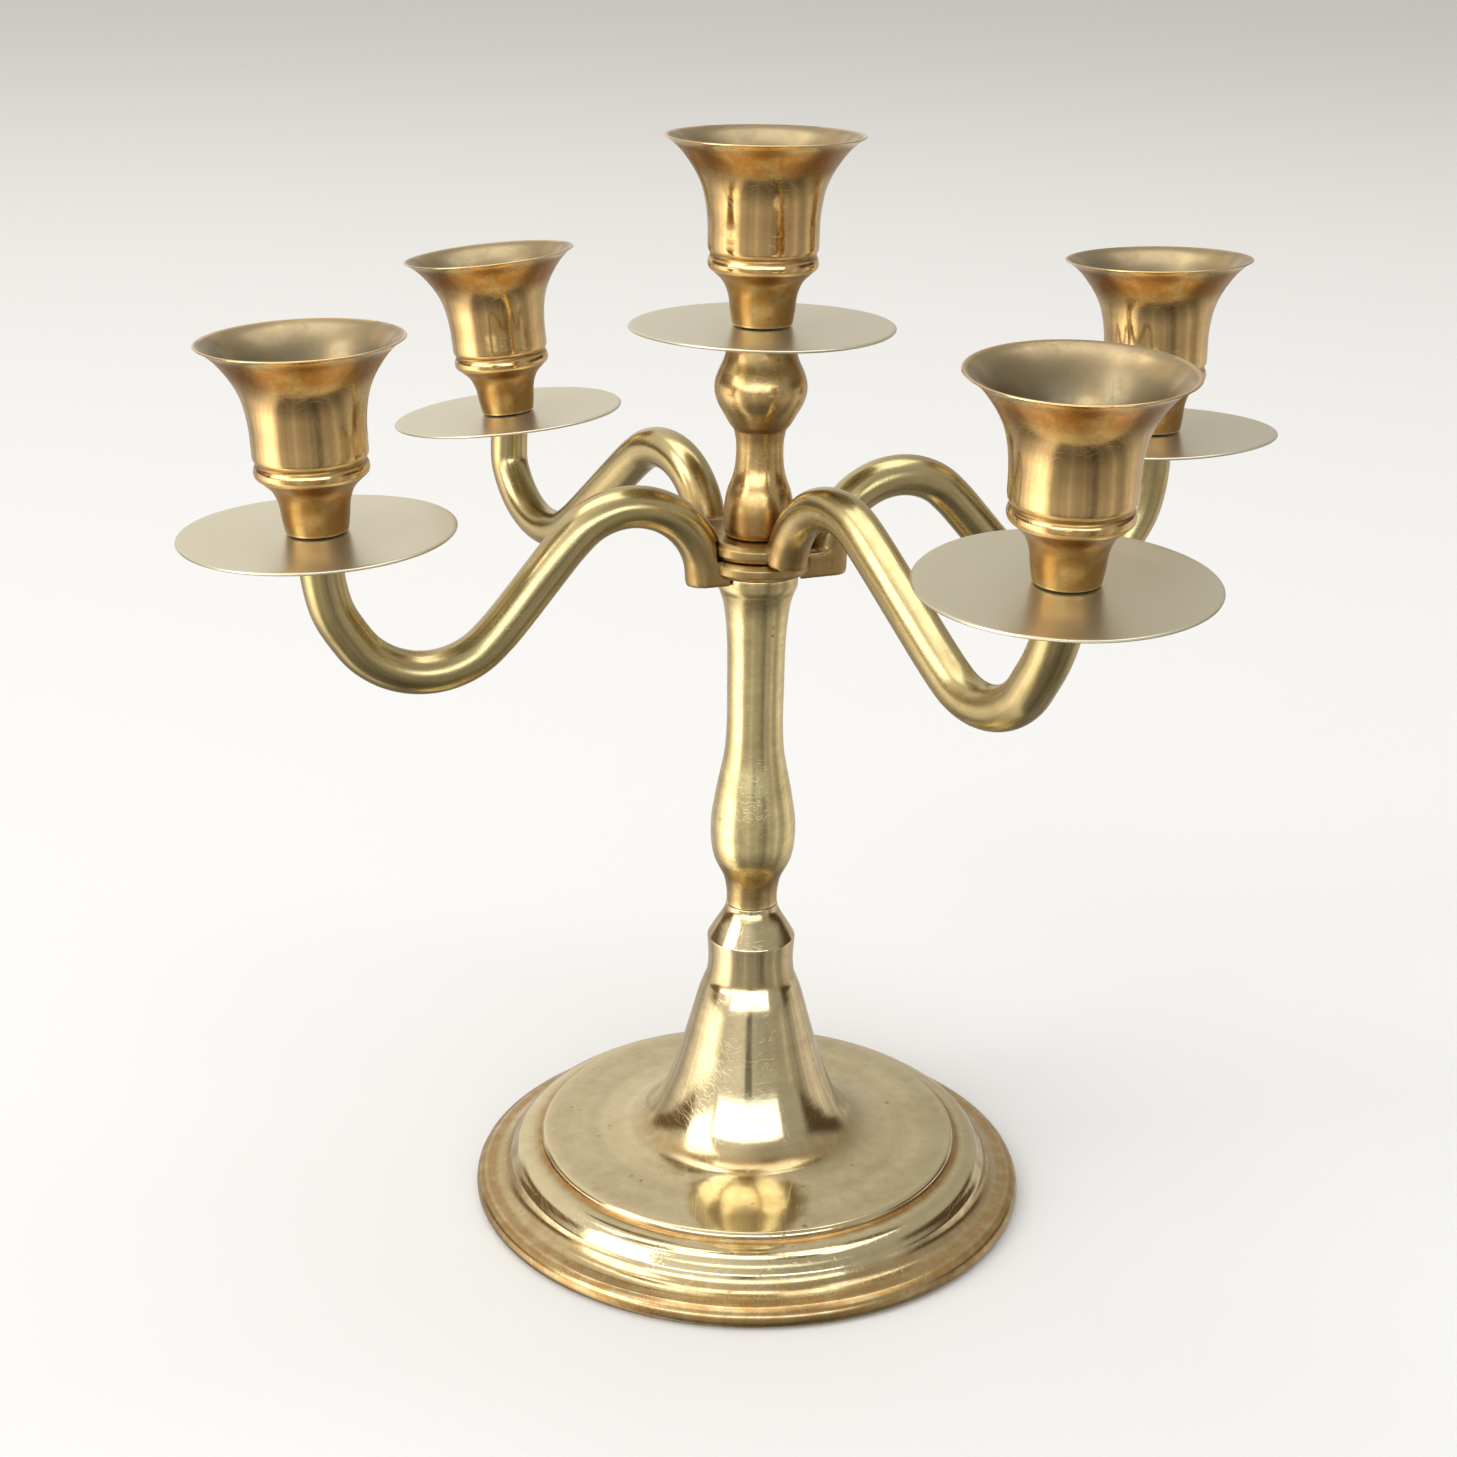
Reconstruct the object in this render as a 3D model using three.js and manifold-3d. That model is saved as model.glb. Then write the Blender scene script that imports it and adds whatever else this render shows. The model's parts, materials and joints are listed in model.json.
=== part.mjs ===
// Five-light brass candelabra: a domed round base, a turned stem, two crossed
// S-arm castings, a short column on top, and a drip pan with a screwed-on
// candle cup at each of the five places. Millimetres, +Z up, origin at the
// centre of the base's underside. One tie rod clamps the whole stack.
import * as THREE from 'three';
import { mergeVertices } from 'three/addons/utils/BufferGeometryUtils.js';
import Module from 'manifold-3d';

const wasm = await Module();
wasm.setup();

// ---- driving dimensions --------------------------------------------------
const GAP = 0.3;                // air left between pieces that touch
const TURNED_SIDES = 24;        // facets round a turned piece
const BASE_SIDES = 36;
const BASE_RADIUS = 67;
const PLATE_RADIUS = 50.6;      // flat plate inside the base's steps
const PLATE_Z = 14.7;
const NECK_Z = 75;              // joint between the base and the stem
const NECK_RADIUS = 6.1;
const STEM_TOP = 157;
const HUB_RADIUS = 12;
const HUB_HEIGHT = 4;
const HUB_CHAMFER = 1.1;
const LOWER_HUB_Z = STEM_TOP + GAP;
const UPPER_HUB_Z = LOWER_HUB_Z + HUB_HEIGHT + GAP;
const STEM_SEAT_RADIUS = 9.2;
const COLUMN_FOOT_RADIUS = 7.8;
const COLUMN_Z = UPPER_HUB_Z + HUB_HEIGHT + GAP;
const CENTRE_SEAT_Z = 213.15;   // drip-pan plane of the middle light

const ROD_RADIUS = 3;           // M6 tie rod
const ROD_BORE = 3.4;
const ROD_BOTTOM = 5;
const ROD_GRIP = 15;            // how far the rod reaches into the column
const NUT_SEAT_Z = 17;          // under the roof of the base's hollow
const NUT_RADIUS = 6;
const NUT_HEIGHT = 5;
const WASHER_RADIUS = 9;
const WASHER_THICK = 1.5;

const ARM_RADIUS = 4.75;
const ARM_SIDES = 10;
const ROD_STEPS = 24;
const LUG_Z = 155.4;            // flat cut under the lower arms' roots
const CUT_ROOM = 2;             // how far a cut runs past the metal
const CLEAR_TOP = 190;          // above both arches
const PAN_RADIUS = 29.4;
const PAN_THICK = 1.0;
const PAN_HOLE = 2.9;
const PAN_TOP = -0.2;           // middle of the pan, under the pan plane
const ARM_END = PAN_TOP - PAN_THICK - GAP;
const STUD_RADIUS = 2.4;        // M5 x 0.8 stud between an arm and its cup
const STUD_BORE = 2.75;
const STUD_DEPTH = 7;
const STUD_TOP = 8.4;
const DRILL_ROOM = 0.8;         // past the end of a stud or rod
const CUP_HEIGHT = 40.6;
const CUP_RADIUS = 21.75;
const CANDLE_RADIUS = 11;       // 22 mm candle
const CANDLE_FLOOR = 13;

// One entry for each arm. Its centreline lies in the upright plane at
// `azimuth` degrees: `arch` and `bowl` are the top of the arch and the bottom
// of the bowl as [distance from the axis, height], with their bend radii.
// `reach` and `seatZ` place the drip pan, and `lean` is how far its cup leans
// for each millimetre of height, along X and Y.
const ARMS = {
  front_left: {
    azimuth: 202.3, reach: 100, seatZ: 175.2, lean: [-0.0365, -0.0206],
    arch: [30.5, 174.5], archBend: 18, bowl: [77, 141.4], bowlBend: 20.2,
  },
  back_right: {
    azimuth: 22.8, reach: 101.5, seatZ: 182.2, lean: [-0.03, 0.018],
    arch: [35, 176.6], archBend: 18, bowl: [79, 147], bowlBend: 20.2,
  },
  front_right: {
    azimuth: -56.9, reach: 106.3, seatZ: 182.1, lean: [-0.0045, -0.0787],
    arch: [30, 178], archBend: 18.5, bowl: [82.4, 150.2], bowlBend: 19,
  },
  back_left: {
    azimuth: 127.3, reach: 108.1, seatZ: 173.9, lean: [-0.105, 0.014],
    arch: [37.4, 178], archBend: 17.5, bowl: [89, 147], bowlBend: 20,
  },
};

// ---- materials -----------------------------------------------------------
function brass(name, color, roughness) {
  return new THREE.MeshStandardMaterial({ name, color, roughness, metalness: 1 });
}
const CAST_BRASS = brass('cast_brass', 0xb79a5b, 0.3);
const TURNED_BRASS = brass('turned_brass', 0xc39d55, 0.24);
const SHEET_BRASS = brass('sheet_brass', 0xab9d74, 0.36);
const STEEL = new THREE.MeshStandardMaterial({
  name: 'zinc_plated_steel', color: 0x9a9c9e, roughness: 0.4, metalness: 1,
});

// ---- helpers -------------------------------------------------------------
const points = (pairs) => pairs.map(([r, z]) => new THREE.Vector2(r, z));

// Turned piece about +Z from [radius, height] pairs.
function turned(pairs, sides) {
  const geometry = new THREE.LatheGeometry(points(pairs), sides);
  geometry.rotateX(Math.PI / 2);
  return geometry;
}

// Closed ring section: the first pair is repeated at the end.
const ring = (pairs, sides) => turned([...pairs, pairs[0]], sides);

// Upright round bar from z0 to z1.
function bar(radius, z0, z1, sides) {
  return turned([[0, z0], [radius, z0], [radius, z1], [0, z1]], sides);
}

function solid(geometry) {
  const bare = geometry.clone();
  bare.deleteAttribute('normal');
  bare.deleteAttribute('uv');
  const merged = mergeVertices(bare, 1e-4);
  const vertProperties = new Float32Array(merged.attributes.position.array);
  const triVerts = new Uint32Array(merged.index.array);
  return new wasm.Manifold(new wasm.Mesh({ numProp: 3, vertProperties, triVerts }));
}

function surface(manifold) {
  const mesh = manifold.getMesh();
  const geometry = new THREE.BufferGeometry();
  geometry.setAttribute('position', new THREE.BufferAttribute(mesh.vertProperties, 3));
  geometry.setIndex(new THREE.BufferAttribute(mesh.triVerts, 1));
  geometry.computeVertexNormals();
  return geometry;
}

const model = new THREE.Group();

function piece(name, geometry, material, parent = model) {
  const mesh = new THREE.Mesh(geometry, material);
  mesh.name = name;
  parent.add(mesh);
  return mesh;
}

// ---- base and stem -------------------------------------------------------
// Spun dome with a rolled foot, a cove, a step, a flat plate and a bell-shaped
// neck. It is hollow below, and its neck is bored for the tie rod.
function baseGeometry() {
  const roof = NUT_SEAT_Z + WASHER_THICK + GAP;
  const outside = [
    [65.4, 0], [BASE_RADIUS, 1.6], [66.6, 3.6], [64.6, 5], [62.2, 5],
    [60, 6.2], [58.8, 7.6], [57.6, 9.8], [54.8, 12], [52.2, 12.8],
    [51.4, 12.8], [PLATE_RADIUS, 13.4], [PLATE_RADIUS, PLATE_Z],
    [46, 15], [36, 15.4], [30, 15.9], [26.6, 16.6], [24.4, 17.8],
    [22.4, 20.2], [20.6, 24], [18.5, 30], [16.6, 36], [14.7, 42],
    [13.2, 47], [11.9, 51.4], [10.8, 55.6], [10.3, 60], [10.3, 63],
    [10.5, 67.4], [8.8, 70], [7, 72],
    [NECK_RADIUS, 74], [NECK_RADIUS, NECK_Z],
  ];
  const inside = [
    [ROD_BORE, NECK_Z], [ROD_BORE, roof], [19.6, roof], [24, 13.4],
    [30, 12.2], [38, 11.8], [48, 11.3], [54, 8.6], [58, 3.4], [61, 0],
  ];
  return ring([...outside, ...inside], BASE_SIDES);
}

// Baluster: a bulb over the neck, a slim waist and a flared seat for the hubs.
function stemGeometry() {
  const foot = NECK_Z + GAP;
  return ring([
    [ROD_BORE, foot], [NECK_RADIUS, foot], [6, 78], [6.6, 81.2],
    [8.1, 84.6], [9.3, 87.6], [10, 93], [9.3, 101], [7.8, 109],
    [6.9, 114], [6.6, 124], [6.7, 138], [7.3, 147], [8.2, 152],
    [STEM_SEAT_RADIUS, 155.4], [STEM_SEAT_RADIUS, STEM_TOP], [ROD_BORE, STEM_TOP],
  ], TURNED_SIDES);
}

// ---- arms ----------------------------------------------------------------
const radians = THREE.MathUtils.degToRad;

// Unit direction of a cup's axis.
function leanAxis([x, y]) {
  return new THREE.Vector3(x, y, 1).normalize();
}

// Where the pan plane of an arm crosses the axis of its cup.
function seatPoint({ azimuth, reach, seatZ }) {
  const a = radians(azimuth);
  return new THREE.Vector3(reach * Math.cos(a), reach * Math.sin(a), seatZ);
}

// [distance, height] stations of an arm: up and over the arch, straight
// down, and round most of the bowl. The straight is the inner tangent of
// the two bends.
function armStations(arm, rootZ) {
  const arch = [arm.arch[0], arm.arch[1] - arm.archBend];
  const bowl = [arm.bowl[0], arm.bowl[1] + arm.bowlBend];
  const span = [bowl[0] - arch[0], bowl[1] - arch[1]];
  const cross = (arm.archBend + arm.bowlBend) / Math.hypot(...span);
  const leave = Math.atan2(span[1], span[0]) - Math.asin(cross) + Math.PI / 2;
  const bend = (centre, radius, from, to, steps) =>
    Array.from({ length: steps + 1 }, (_, i) => {
      const t = from + ((to - from) * i) / steps;
      return [centre[0] + radius * Math.cos(t), centre[1] + radius * Math.sin(t)];
    });
  const root = [arch[0] - arm.archBend, rootZ];
  const over = bend(arch, arm.archBend, radians(165), leave, 7);
  const under = bend(bowl, arm.bowlBend, leave + Math.PI, radians(332), 6);
  return [root, ...over, ...under];
}

// Arm centreline in space. The last stretch bends into the cup's axis.
function armPath(arm, rootZ) {
  const a = radians(arm.azimuth);
  const place = ([r, z]) => new THREE.Vector3(r * Math.cos(a), r * Math.sin(a), z);
  const stations = armStations(arm, rootZ).map(place);
  const axis = leanAxis(arm.lean);
  const end = seatPoint(arm).addScaledVector(axis, ARM_END + GAP);
  const start = stations.at(-1);
  const heading = start.clone().sub(stations.at(-2)).normalize();
  const handle = start.distanceTo(end) / 3;
  const rise = new THREE.CubicBezierCurve3(
    start,
    start.clone().addScaledVector(heading, handle),
    end.clone().addScaledVector(axis, -handle),
    end,
  );
  return [...stations, ...rise.getPoints(4).slice(1)];
}

// Round rod that follows the stations, closed at both ends.
function rod(stations, radius, sides) {
  const extrudePath = new THREE.CatmullRomCurve3(stations, false, 'centripetal');
  const section = new THREE.Shape();
  for (let i = 0; i < sides; i += 1) {
    const t = (2 * Math.PI * (i + 0.5)) / sides;
    const corner = [radius * Math.cos(t), radius * Math.sin(t)];
    if (i === 0) section.moveTo(...corner);
    else section.lineTo(...corner);
  }
  section.closePath();
  return new THREE.ExtrudeGeometry(section, { steps: ROD_STEPS, extrudePath });
}

// Flat tongue from the hub out to an arm's root, rounded at its end.
function tongue(arm, z0, z1) {
  const root = arm.arch[0] - arm.archBend;
  const outline = new THREE.Shape();
  outline.moveTo(0, -ARM_RADIUS);
  outline.absarc(root, 0, ARM_RADIUS, -Math.PI / 2, Math.PI / 2);
  outline.lineTo(0, ARM_RADIUS);
  outline.closePath();
  const plate = new THREE.ExtrudeGeometry(outline, {
    depth: z1 - z0, bevelEnabled: false, curveSegments: ARM_SIDES / 2,
  });
  plate.rotateZ(radians(arm.azimuth));
  plate.translate(0, 0, z0);
  return plate;
}

// What is cut from an arm's end: all above its flat seat, and a blind hole
// for the stud.
function seatCut(arm) {
  const hole = bar(STUD_BORE, ARM_END - STUD_DEPTH, ARM_END + 1, 12);
  const above = bar(ARM_RADIUS + CUT_ROOM, ARM_END, ARM_END + CUT_ROOM, 12);
  const frame = cupFrame(seatPoint(arm), leanAxis(arm.lean));
  return solid(hole.applyMatrix4(frame)).add(solid(above.applyMatrix4(frame)));
}

function cupFrame(seat, axis) {
  const up = new THREE.Vector3(0, 0, 1);
  const turn = new THREE.Quaternion().setFromUnitVectors(up, axis);
  return new THREE.Matrix4().compose(seat, turn, new THREE.Vector3(1, 1, 1));
}

// Chamfered hub disc with a bore for the tie rod.
function hubDisc(z) {
  const top = z + HUB_HEIGHT;
  const flat = HUB_RADIUS - HUB_CHAMFER;
  return ring([
    [ROD_BORE, z], [flat, z], [HUB_RADIUS, z + HUB_CHAMFER],
    [HUB_RADIUS, top - HUB_CHAMFER], [flat, top], [ROD_BORE, top],
  ], TURNED_SIDES);
}

// One casting: two opposite arms and their hub. `rootZ` is its flat underside
// and `clear` lists the round rooms that its neighbours need, as [radius, from
// height, to height].
function armPair(arms, hubZ, rootZ, clear) {
  let body = solid(hubDisc(hubZ));
  for (const arm of arms) {
    body = body.add(solid(rod(armPath(arm, rootZ), ARM_RADIUS, ARM_SIDES)));
    body = body.add(solid(tongue(arm, rootZ, hubZ + HUB_HEIGHT)));
  }
  for (const [radius, from, to] of clear) {
    body = body.subtract(solid(bar(radius, from, to, TURNED_SIDES)));
  }
  for (const arm of arms) body = body.subtract(seatCut(arm));
  return surface(body);
}

// ---- column --------------------------------------------------------------
// Short baluster over the hubs: a bell foot, a thin neck and a ball that
// carries the middle drip pan. Threaded blind for the rod below and the stud
// above.
function columnGeometry() {
  const top = CENTRE_SEAT_Z + ARM_END;
  const studFloor = top - STUD_DEPTH;
  const rodRoof = COLUMN_Z + ROD_GRIP + DRILL_ROOM;
  return turned([
    [0, rodRoof], [ROD_BORE, rodRoof],
    [ROD_BORE, COLUMN_Z], [7.4, COLUMN_Z], [COLUMN_FOOT_RADIUS, 167],
    [COLUMN_FOOT_RADIUS, 173],
    [7.2, 176], [5.7, 180.2], [5.2, 184.5], [5.7, 190], [6.9, 192.4],
    [8.2, 194.6], [9.6, 196.6], [10.3, 198.6], [10.1, 200.6],
    [9.3, 202.8], [8.3, 205.4], [7.6, 208.4], [7.3, top], [STUD_BORE, top],
    [STUD_BORE, studFloor], [0, studFloor],
  ], TURNED_SIDES);
}

// ---- candle place --------------------------------------------------------
// Thin disc, very slightly dished, with a plain hole for the stud.
function panGeometry() {
  const under = PAN_TOP - PAN_THICK;
  const edge = PAN_RADIUS;
  return ring([
    [PAN_HOLE, under], [21, under], [edge - 0.4, -0.75], [edge, -0.4],
    [edge - 0.4, 0], [21, PAN_TOP], [PAN_HOLE, PAN_TOP],
  ], TURNED_SIDES);
}

// Bell-shaped cup on a short tapered stub. The stub is tapped from below,
// and the bell is bored for the candle.
function cupGeometry() {
  const foot = PAN_TOP + GAP;
  const tap = STUD_TOP + DRILL_ROOM;
  return turned([
    [0, tap], [STUD_BORE, tap], [STUD_BORE, foot], [6.6, foot],
    [7.6, 7], [11.2, 12], [12, 12.8], [12, 14.8], [11.7, 15.4],
    [12.1, 17], [12, 24], [12.9, 27.8], [14.6, 32.4], [17.6, 37.2],
    [CUP_RADIUS, 40.1], [CUP_RADIUS - 0.5, CUP_HEIGHT], [16.6, 38.2], [13.2, 33],
    [CANDLE_RADIUS, 26.5], [CANDLE_RADIUS, CANDLE_FLOOR], [0, CANDLE_FLOOR],
  ], TURNED_SIDES);
}

// Drip pan, cup and stud on one axis through `seat`.
function candlePlace(name, seat, axis) {
  const place = new THREE.Group();
  place.applyMatrix4(cupFrame(seat, axis));
  piece(`drip_pan_${name}`, panGeometry(), SHEET_BRASS, place);
  piece(`candle_cup_${name}`, cupGeometry(), TURNED_BRASS, place);
  const foot = ARM_END - STUD_DEPTH + GAP;
  piece(`stud_${name}`, bar(STUD_RADIUS, foot, STUD_TOP, 12), STEEL, place);
  model.add(place);
}

// ---- assembly ------------------------------------------------------------
piece('base', baseGeometry(), CAST_BRASS);
piece('stem', stemGeometry(), TURNED_BRASS);
const lowerTop = UPPER_HUB_Z - GAP;
piece('lower_arms', armPair(
  [ARMS.front_left, ARMS.back_right], LOWER_HUB_Z, LUG_Z,
  [
    [STEM_SEAT_RADIUS + 0.6, LUG_Z - CUT_ROOM, LOWER_HUB_Z],
    [HUB_RADIUS + 0.5, lowerTop, COLUMN_Z],
    [ROD_BORE, LUG_Z - CUT_ROOM, COLUMN_Z],
    [COLUMN_FOOT_RADIUS + 0.8, lowerTop, CLEAR_TOP],
  ],
), CAST_BRASS);
piece('upper_arms', armPair(
  [ARMS.front_right, ARMS.back_left], UPPER_HUB_Z, UPPER_HUB_Z,
  [
    [ROD_BORE, UPPER_HUB_Z - CUT_ROOM, COLUMN_Z],
    [COLUMN_FOOT_RADIUS + 0.8, COLUMN_Z - GAP, CLEAR_TOP],
  ],
), CAST_BRASS);
piece('column', columnGeometry(), TURNED_BRASS);

const rodTop = COLUMN_Z + ROD_GRIP;
piece('tie_rod', bar(ROD_RADIUS, ROD_BOTTOM, rodTop, 12), STEEL);
piece('base_washer', ring([
  [ROD_BORE, NUT_SEAT_Z], [WASHER_RADIUS, NUT_SEAT_Z],
  [WASHER_RADIUS, NUT_SEAT_Z + WASHER_THICK], [ROD_BORE, NUT_SEAT_Z + WASHER_THICK],
], 20), STEEL);
const nutTop = NUT_SEAT_Z - GAP;
const nutBlank = solid(bar(NUT_RADIUS, nutTop - NUT_HEIGHT, nutTop, 6));
const nutBore = solid(bar(ROD_BORE, 0, NUT_SEAT_Z, 16));
piece('base_nut', surface(nutBlank.subtract(nutBore)), STEEL);

candlePlace('centre', new THREE.Vector3(0, 0, CENTRE_SEAT_Z), new THREE.Vector3(0, 0, 1));
for (const [name, arm] of Object.entries(ARMS)) {
  candlePlace(name, seatPoint(arm), leanAxis(arm.lean));
}

export default model;
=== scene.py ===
import json
import math

import bpy
import numpy as np
from mathutils import Matrix, Vector

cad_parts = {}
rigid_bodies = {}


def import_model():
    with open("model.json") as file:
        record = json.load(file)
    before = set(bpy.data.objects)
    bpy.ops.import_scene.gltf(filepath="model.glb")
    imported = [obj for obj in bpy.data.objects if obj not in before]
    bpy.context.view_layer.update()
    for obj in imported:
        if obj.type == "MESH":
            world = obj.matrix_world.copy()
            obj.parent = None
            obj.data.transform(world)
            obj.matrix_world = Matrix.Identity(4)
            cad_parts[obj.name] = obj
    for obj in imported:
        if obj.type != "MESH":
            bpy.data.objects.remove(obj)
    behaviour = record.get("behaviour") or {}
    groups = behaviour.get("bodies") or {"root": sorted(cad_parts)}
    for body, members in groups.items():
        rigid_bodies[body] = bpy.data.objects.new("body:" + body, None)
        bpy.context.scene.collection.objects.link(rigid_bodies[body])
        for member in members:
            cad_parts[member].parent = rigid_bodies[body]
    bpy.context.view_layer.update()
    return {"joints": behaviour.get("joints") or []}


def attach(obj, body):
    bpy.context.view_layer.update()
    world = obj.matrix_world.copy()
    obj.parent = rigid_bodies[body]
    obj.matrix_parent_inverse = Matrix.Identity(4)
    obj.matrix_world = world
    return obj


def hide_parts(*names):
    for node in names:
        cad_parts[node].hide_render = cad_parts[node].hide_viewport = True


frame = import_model()

bl_info = {
    "name": "Five-Light Brass Candelabra",
    "version": (1, 0, 0),
    "blender": (4, 5, 0),
    "location": "View3D > Sidebar > Candelabra",
    "description": "Dresses the packed candelabra in cast, turned and sheet brass",
    "category": "Object",
}

MM = 0.001
LOWER_PAIR = ("front_left", "back_right")
UPPER_PAIR = ("front_right", "back_left")
PLACES = ("centre", *LOWER_PAIR, *UPPER_PAIR)
JOINTS = {joint["name"]: joint for joint in frame["joints"]}

# Heights and radii of the stack, in millimetres.
NECK_Z = 75.0
STEM_TOP = 157.0
STEM_SEAT_RADIUS = 9.2
LOWER_HUB_Z = 157.3
UPPER_HUB_Z = 161.6
HUB_HEIGHT = 4.0
HUB_RADIUS = 12.0
HUB_CHAMFER = 1.1
LUG_Z = 155.4
COLUMN_Z = 165.9
COLUMN_TOP = 211.65
COLUMN_FOOT_RADIUS = 7.8
CLEAR_TOP = 190.0
ROD_RADIUS = 3.0
ROD_BORE = 3.4
ROD_BOTTOM = 5.0
ROD_TOP = 180.9
ROD_ROOF = 181.7
ROD_PITCH = 1.0
ROD_PLAIN = (26.0, 164.0)
HOLLOW_ROOF = 18.8
WASHER_Z = 17.0
WASHER_THICK = 1.5
WASHER_RADIUS = 9.0
NUT_RADIUS = 6.0
NUT_BOTTOM = 11.7
NUT_TOP = 16.7

# Sizes at a candle place, in millimetres. Heights are above the drip pan's plane.
ARM_RADIUS = 4.75
ARM_END = -1.5
ROOT_LENGTH = 12.0
ROOT_EASE = 8.0
PAN_RADIUS = 29.4
PAN_HOLE = 2.9
STUD_RADIUS = 2.4
STUD_PITCH = 0.8
STUD_BORE = 2.75
STUD_BOTTOM = -8.2
STUD_TOP = 8.4
STUD_ROOF = 9.2
STUD_DEPTH = 7.0
CUP_FOOT = 0.1
CANDLE_RADIUS = 11.0
CANDLE_FLOOR = 13.0

# Edges that turn more than this many degrees stay sharp.
SHARP_TURN = 38

# How far the unevenness of the surface is shifted from one arm or cup to the next, in radians.
UNEVEN_SHIFT = 2.3

# The line of each arm, in the upright plane through its candle place: the top
# of its arch and the bottom of its bowl, as (distance from the stem's axis,
# height), and the radius of each bend. Millimetres.
ARMS = {
    "front_left": {"arch": (30.5, 174.5), "arch_bend": 18.0, "bowl": (77.0, 141.4), "bowl_bend": 20.2},
    "back_right": {"arch": (35.0, 176.6), "arch_bend": 18.0, "bowl": (79.0, 147.0), "bowl_bend": 20.2},
    "front_right": {"arch": (30.0, 178.0), "arch_bend": 18.5, "bowl": (82.4, 150.2), "bowl_bend": 19.0},
    "back_left": {"arch": (37.4, 178.0), "arch_bend": 17.5, "bowl": (89.0, 147.0), "bowl_bend": 20.0},
}


# ---- settings -------------------------------------------------------------

def tone(name, description, default):
    """A colour setting."""
    return bpy.props.FloatVectorProperty(
        name=name, description=description, default=default,
        size=3, min=0.0, max=1.0, subtype="COLOR",
    )


def share(name, description, default):
    """A setting from 0 to 1."""
    return bpy.props.FloatProperty(
        name=name, description=description, default=default,
        min=0.0, max=1.0, subtype="FACTOR",
    )


def length(name, description, default):
    """A distance setting, in metres."""
    return bpy.props.FloatProperty(
        name=name, description=description, default=default,
        min=0.00005, subtype="DISTANCE", unit="LENGTH", precision=5,
    )


def angle(name, description, default):
    """An angle setting, in radians."""
    return bpy.props.FloatProperty(
        name=name, description=description, default=default,
        subtype="ANGLE", unit="ROTATION",
    )


def power(name, description, default):
    """A lamp's power, in watts."""
    return bpy.props.FloatProperty(
        name=name, description=description, default=default, min=0.0, unit="POWER",
    )


class CandelabraBrass(bpy.types.PropertyGroup):
    """Colours and wear of the metal."""

    foot: tone("Foot", "Clean colour of the spun foot", (0.70, 0.59, 0.36))
    arms: tone("Arms", "Clean colour of the cast arms", (0.58, 0.47, 0.23))
    stem: tone("Stem", "Clean colour of the turned stem", (0.88, 0.76, 0.41))
    cups: tone("Cups", "Clean colour of the cups and the column", (0.71, 0.49, 0.22))
    sheet: tone("Drip pans", "Clean colour of the sheet brass", (0.34, 0.29, 0.17))
    # The amber colour also serves as painted shade where the pieces mark it.
    amber: tone("Amber film", "Colour of the tarnish in the hollows", (0.38, 0.17, 0.035))
    olive: tone("Olive film", "Colour of the old lacquer", (0.46, 0.37, 0.17))
    soot: tone("Soot", "Colour of the wax and soot inside the cups", (0.20, 0.17, 0.11))
    tarnish: share("Tarnish", "How much of the metal is filmed over", 0.5)
    polish: share("Roughness", "Roughness of the best polished metal", 0.13)


class CandelabraMaking(bpy.types.PropertyGroup):
    """How finely the pieces are made."""

    step: length("Outline step", "Spacing of the points along a turned outline", 0.0008)
    corner: length("Broken corner", "How far a turned corner is rounded back", 0.0003)
    voxel: length("Casting grain", "Voxel size that fuses the arms and their roots", 0.0005)
    sides: bpy.props.IntProperty(
        name="Sides", description="Points round a turned piece", default=120, min=24, max=512,
    )


class CandelabraStage(bpy.types.PropertyGroup):
    """Floor, camera and lights."""

    floor: tone("Floor", "Colour of the floor", (0.73, 0.73, 0.725))
    eye: bpy.props.FloatVectorProperty(
        name="Eye", description="Place of the camera", size=3,
        default=(0.0, -0.5133, 0.30696), subtype="TRANSLATION", unit="LENGTH",
    )
    pitch: angle("Pitch", "How far the camera looks down", 0.3514)
    yaw: angle("Yaw", "How far the camera turns to the right", -0.0119)
    roll: angle("Roll", "How far the camera tips to its right", 0.0141)
    lens: bpy.props.FloatProperty(
        name="Lens", description="Focal length in millimetres", default=58.0, min=1.0, unit="CAMERA",
    )
    window: power("Window", "Power of the big soft light at the left", 62.0)
    overhead: power("Overhead", "Power of the soft light above", 46.0)
    front: power("Front", "Power of the low strip of daylight in front", 34.0)
    ambient: share("Room", "Brightness of the room around", 0.85)


# ---- outlines and sections ------------------------------------------------

def spline_point(knots, times, t):
    """Point at time t on the stretch between the middle two of four knots."""
    def mix(p, q, i, j):
        return (p * (times[j] - t) + q * (t - times[i])) / (times[j] - times[i])

    a, b, c, d = knots
    ab, bc, cd = mix(a, b, 0, 1), mix(b, c, 1, 2), mix(c, d, 2, 3)
    return mix(mix(ab, bc, 0, 2), mix(bc, cd, 1, 3), 1, 2)


def spline(points, step):
    """Points about every step along a smooth line through the given ones."""
    knots = np.array(points, float)
    if len(knots) == 2:
        count = max(1, round(np.linalg.norm(knots[1] - knots[0]) / step))
        return np.linspace(knots[0], knots[1], count + 1)
    knots = np.vstack([2 * knots[0] - knots[1], knots, 2 * knots[-1] - knots[-2]])
    line = []
    for four in zip(knots, knots[1:], knots[2:], knots[3:]):
        spans = [math.sqrt(np.linalg.norm(q - p)) for p, q in zip(four, four[1:])]
        times = np.cumsum([0.0, *spans])
        count = max(2, math.ceil(np.linalg.norm(four[2] - four[1]) / step))
        for t in np.linspace(times[1], times[2], count, endpoint=False):
            line.append(spline_point(four, times, t))
    return np.vstack([*line, knots[-2]])


def cut_back(line, distance):
    """The line without its last stretch of that length."""
    line = [np.array(point) for point in line]
    while len(line) > 2 and np.linalg.norm(line[-1] - line[-2]) <= distance:
        distance -= np.linalg.norm(line[-1] - line[-2])
        line.pop()
    gap = np.linalg.norm(line[-1] - line[-2])
    line[-1] = line[-1] + (line[-2] - line[-1]) * min(distance / gap, 0.4)
    return line


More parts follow.
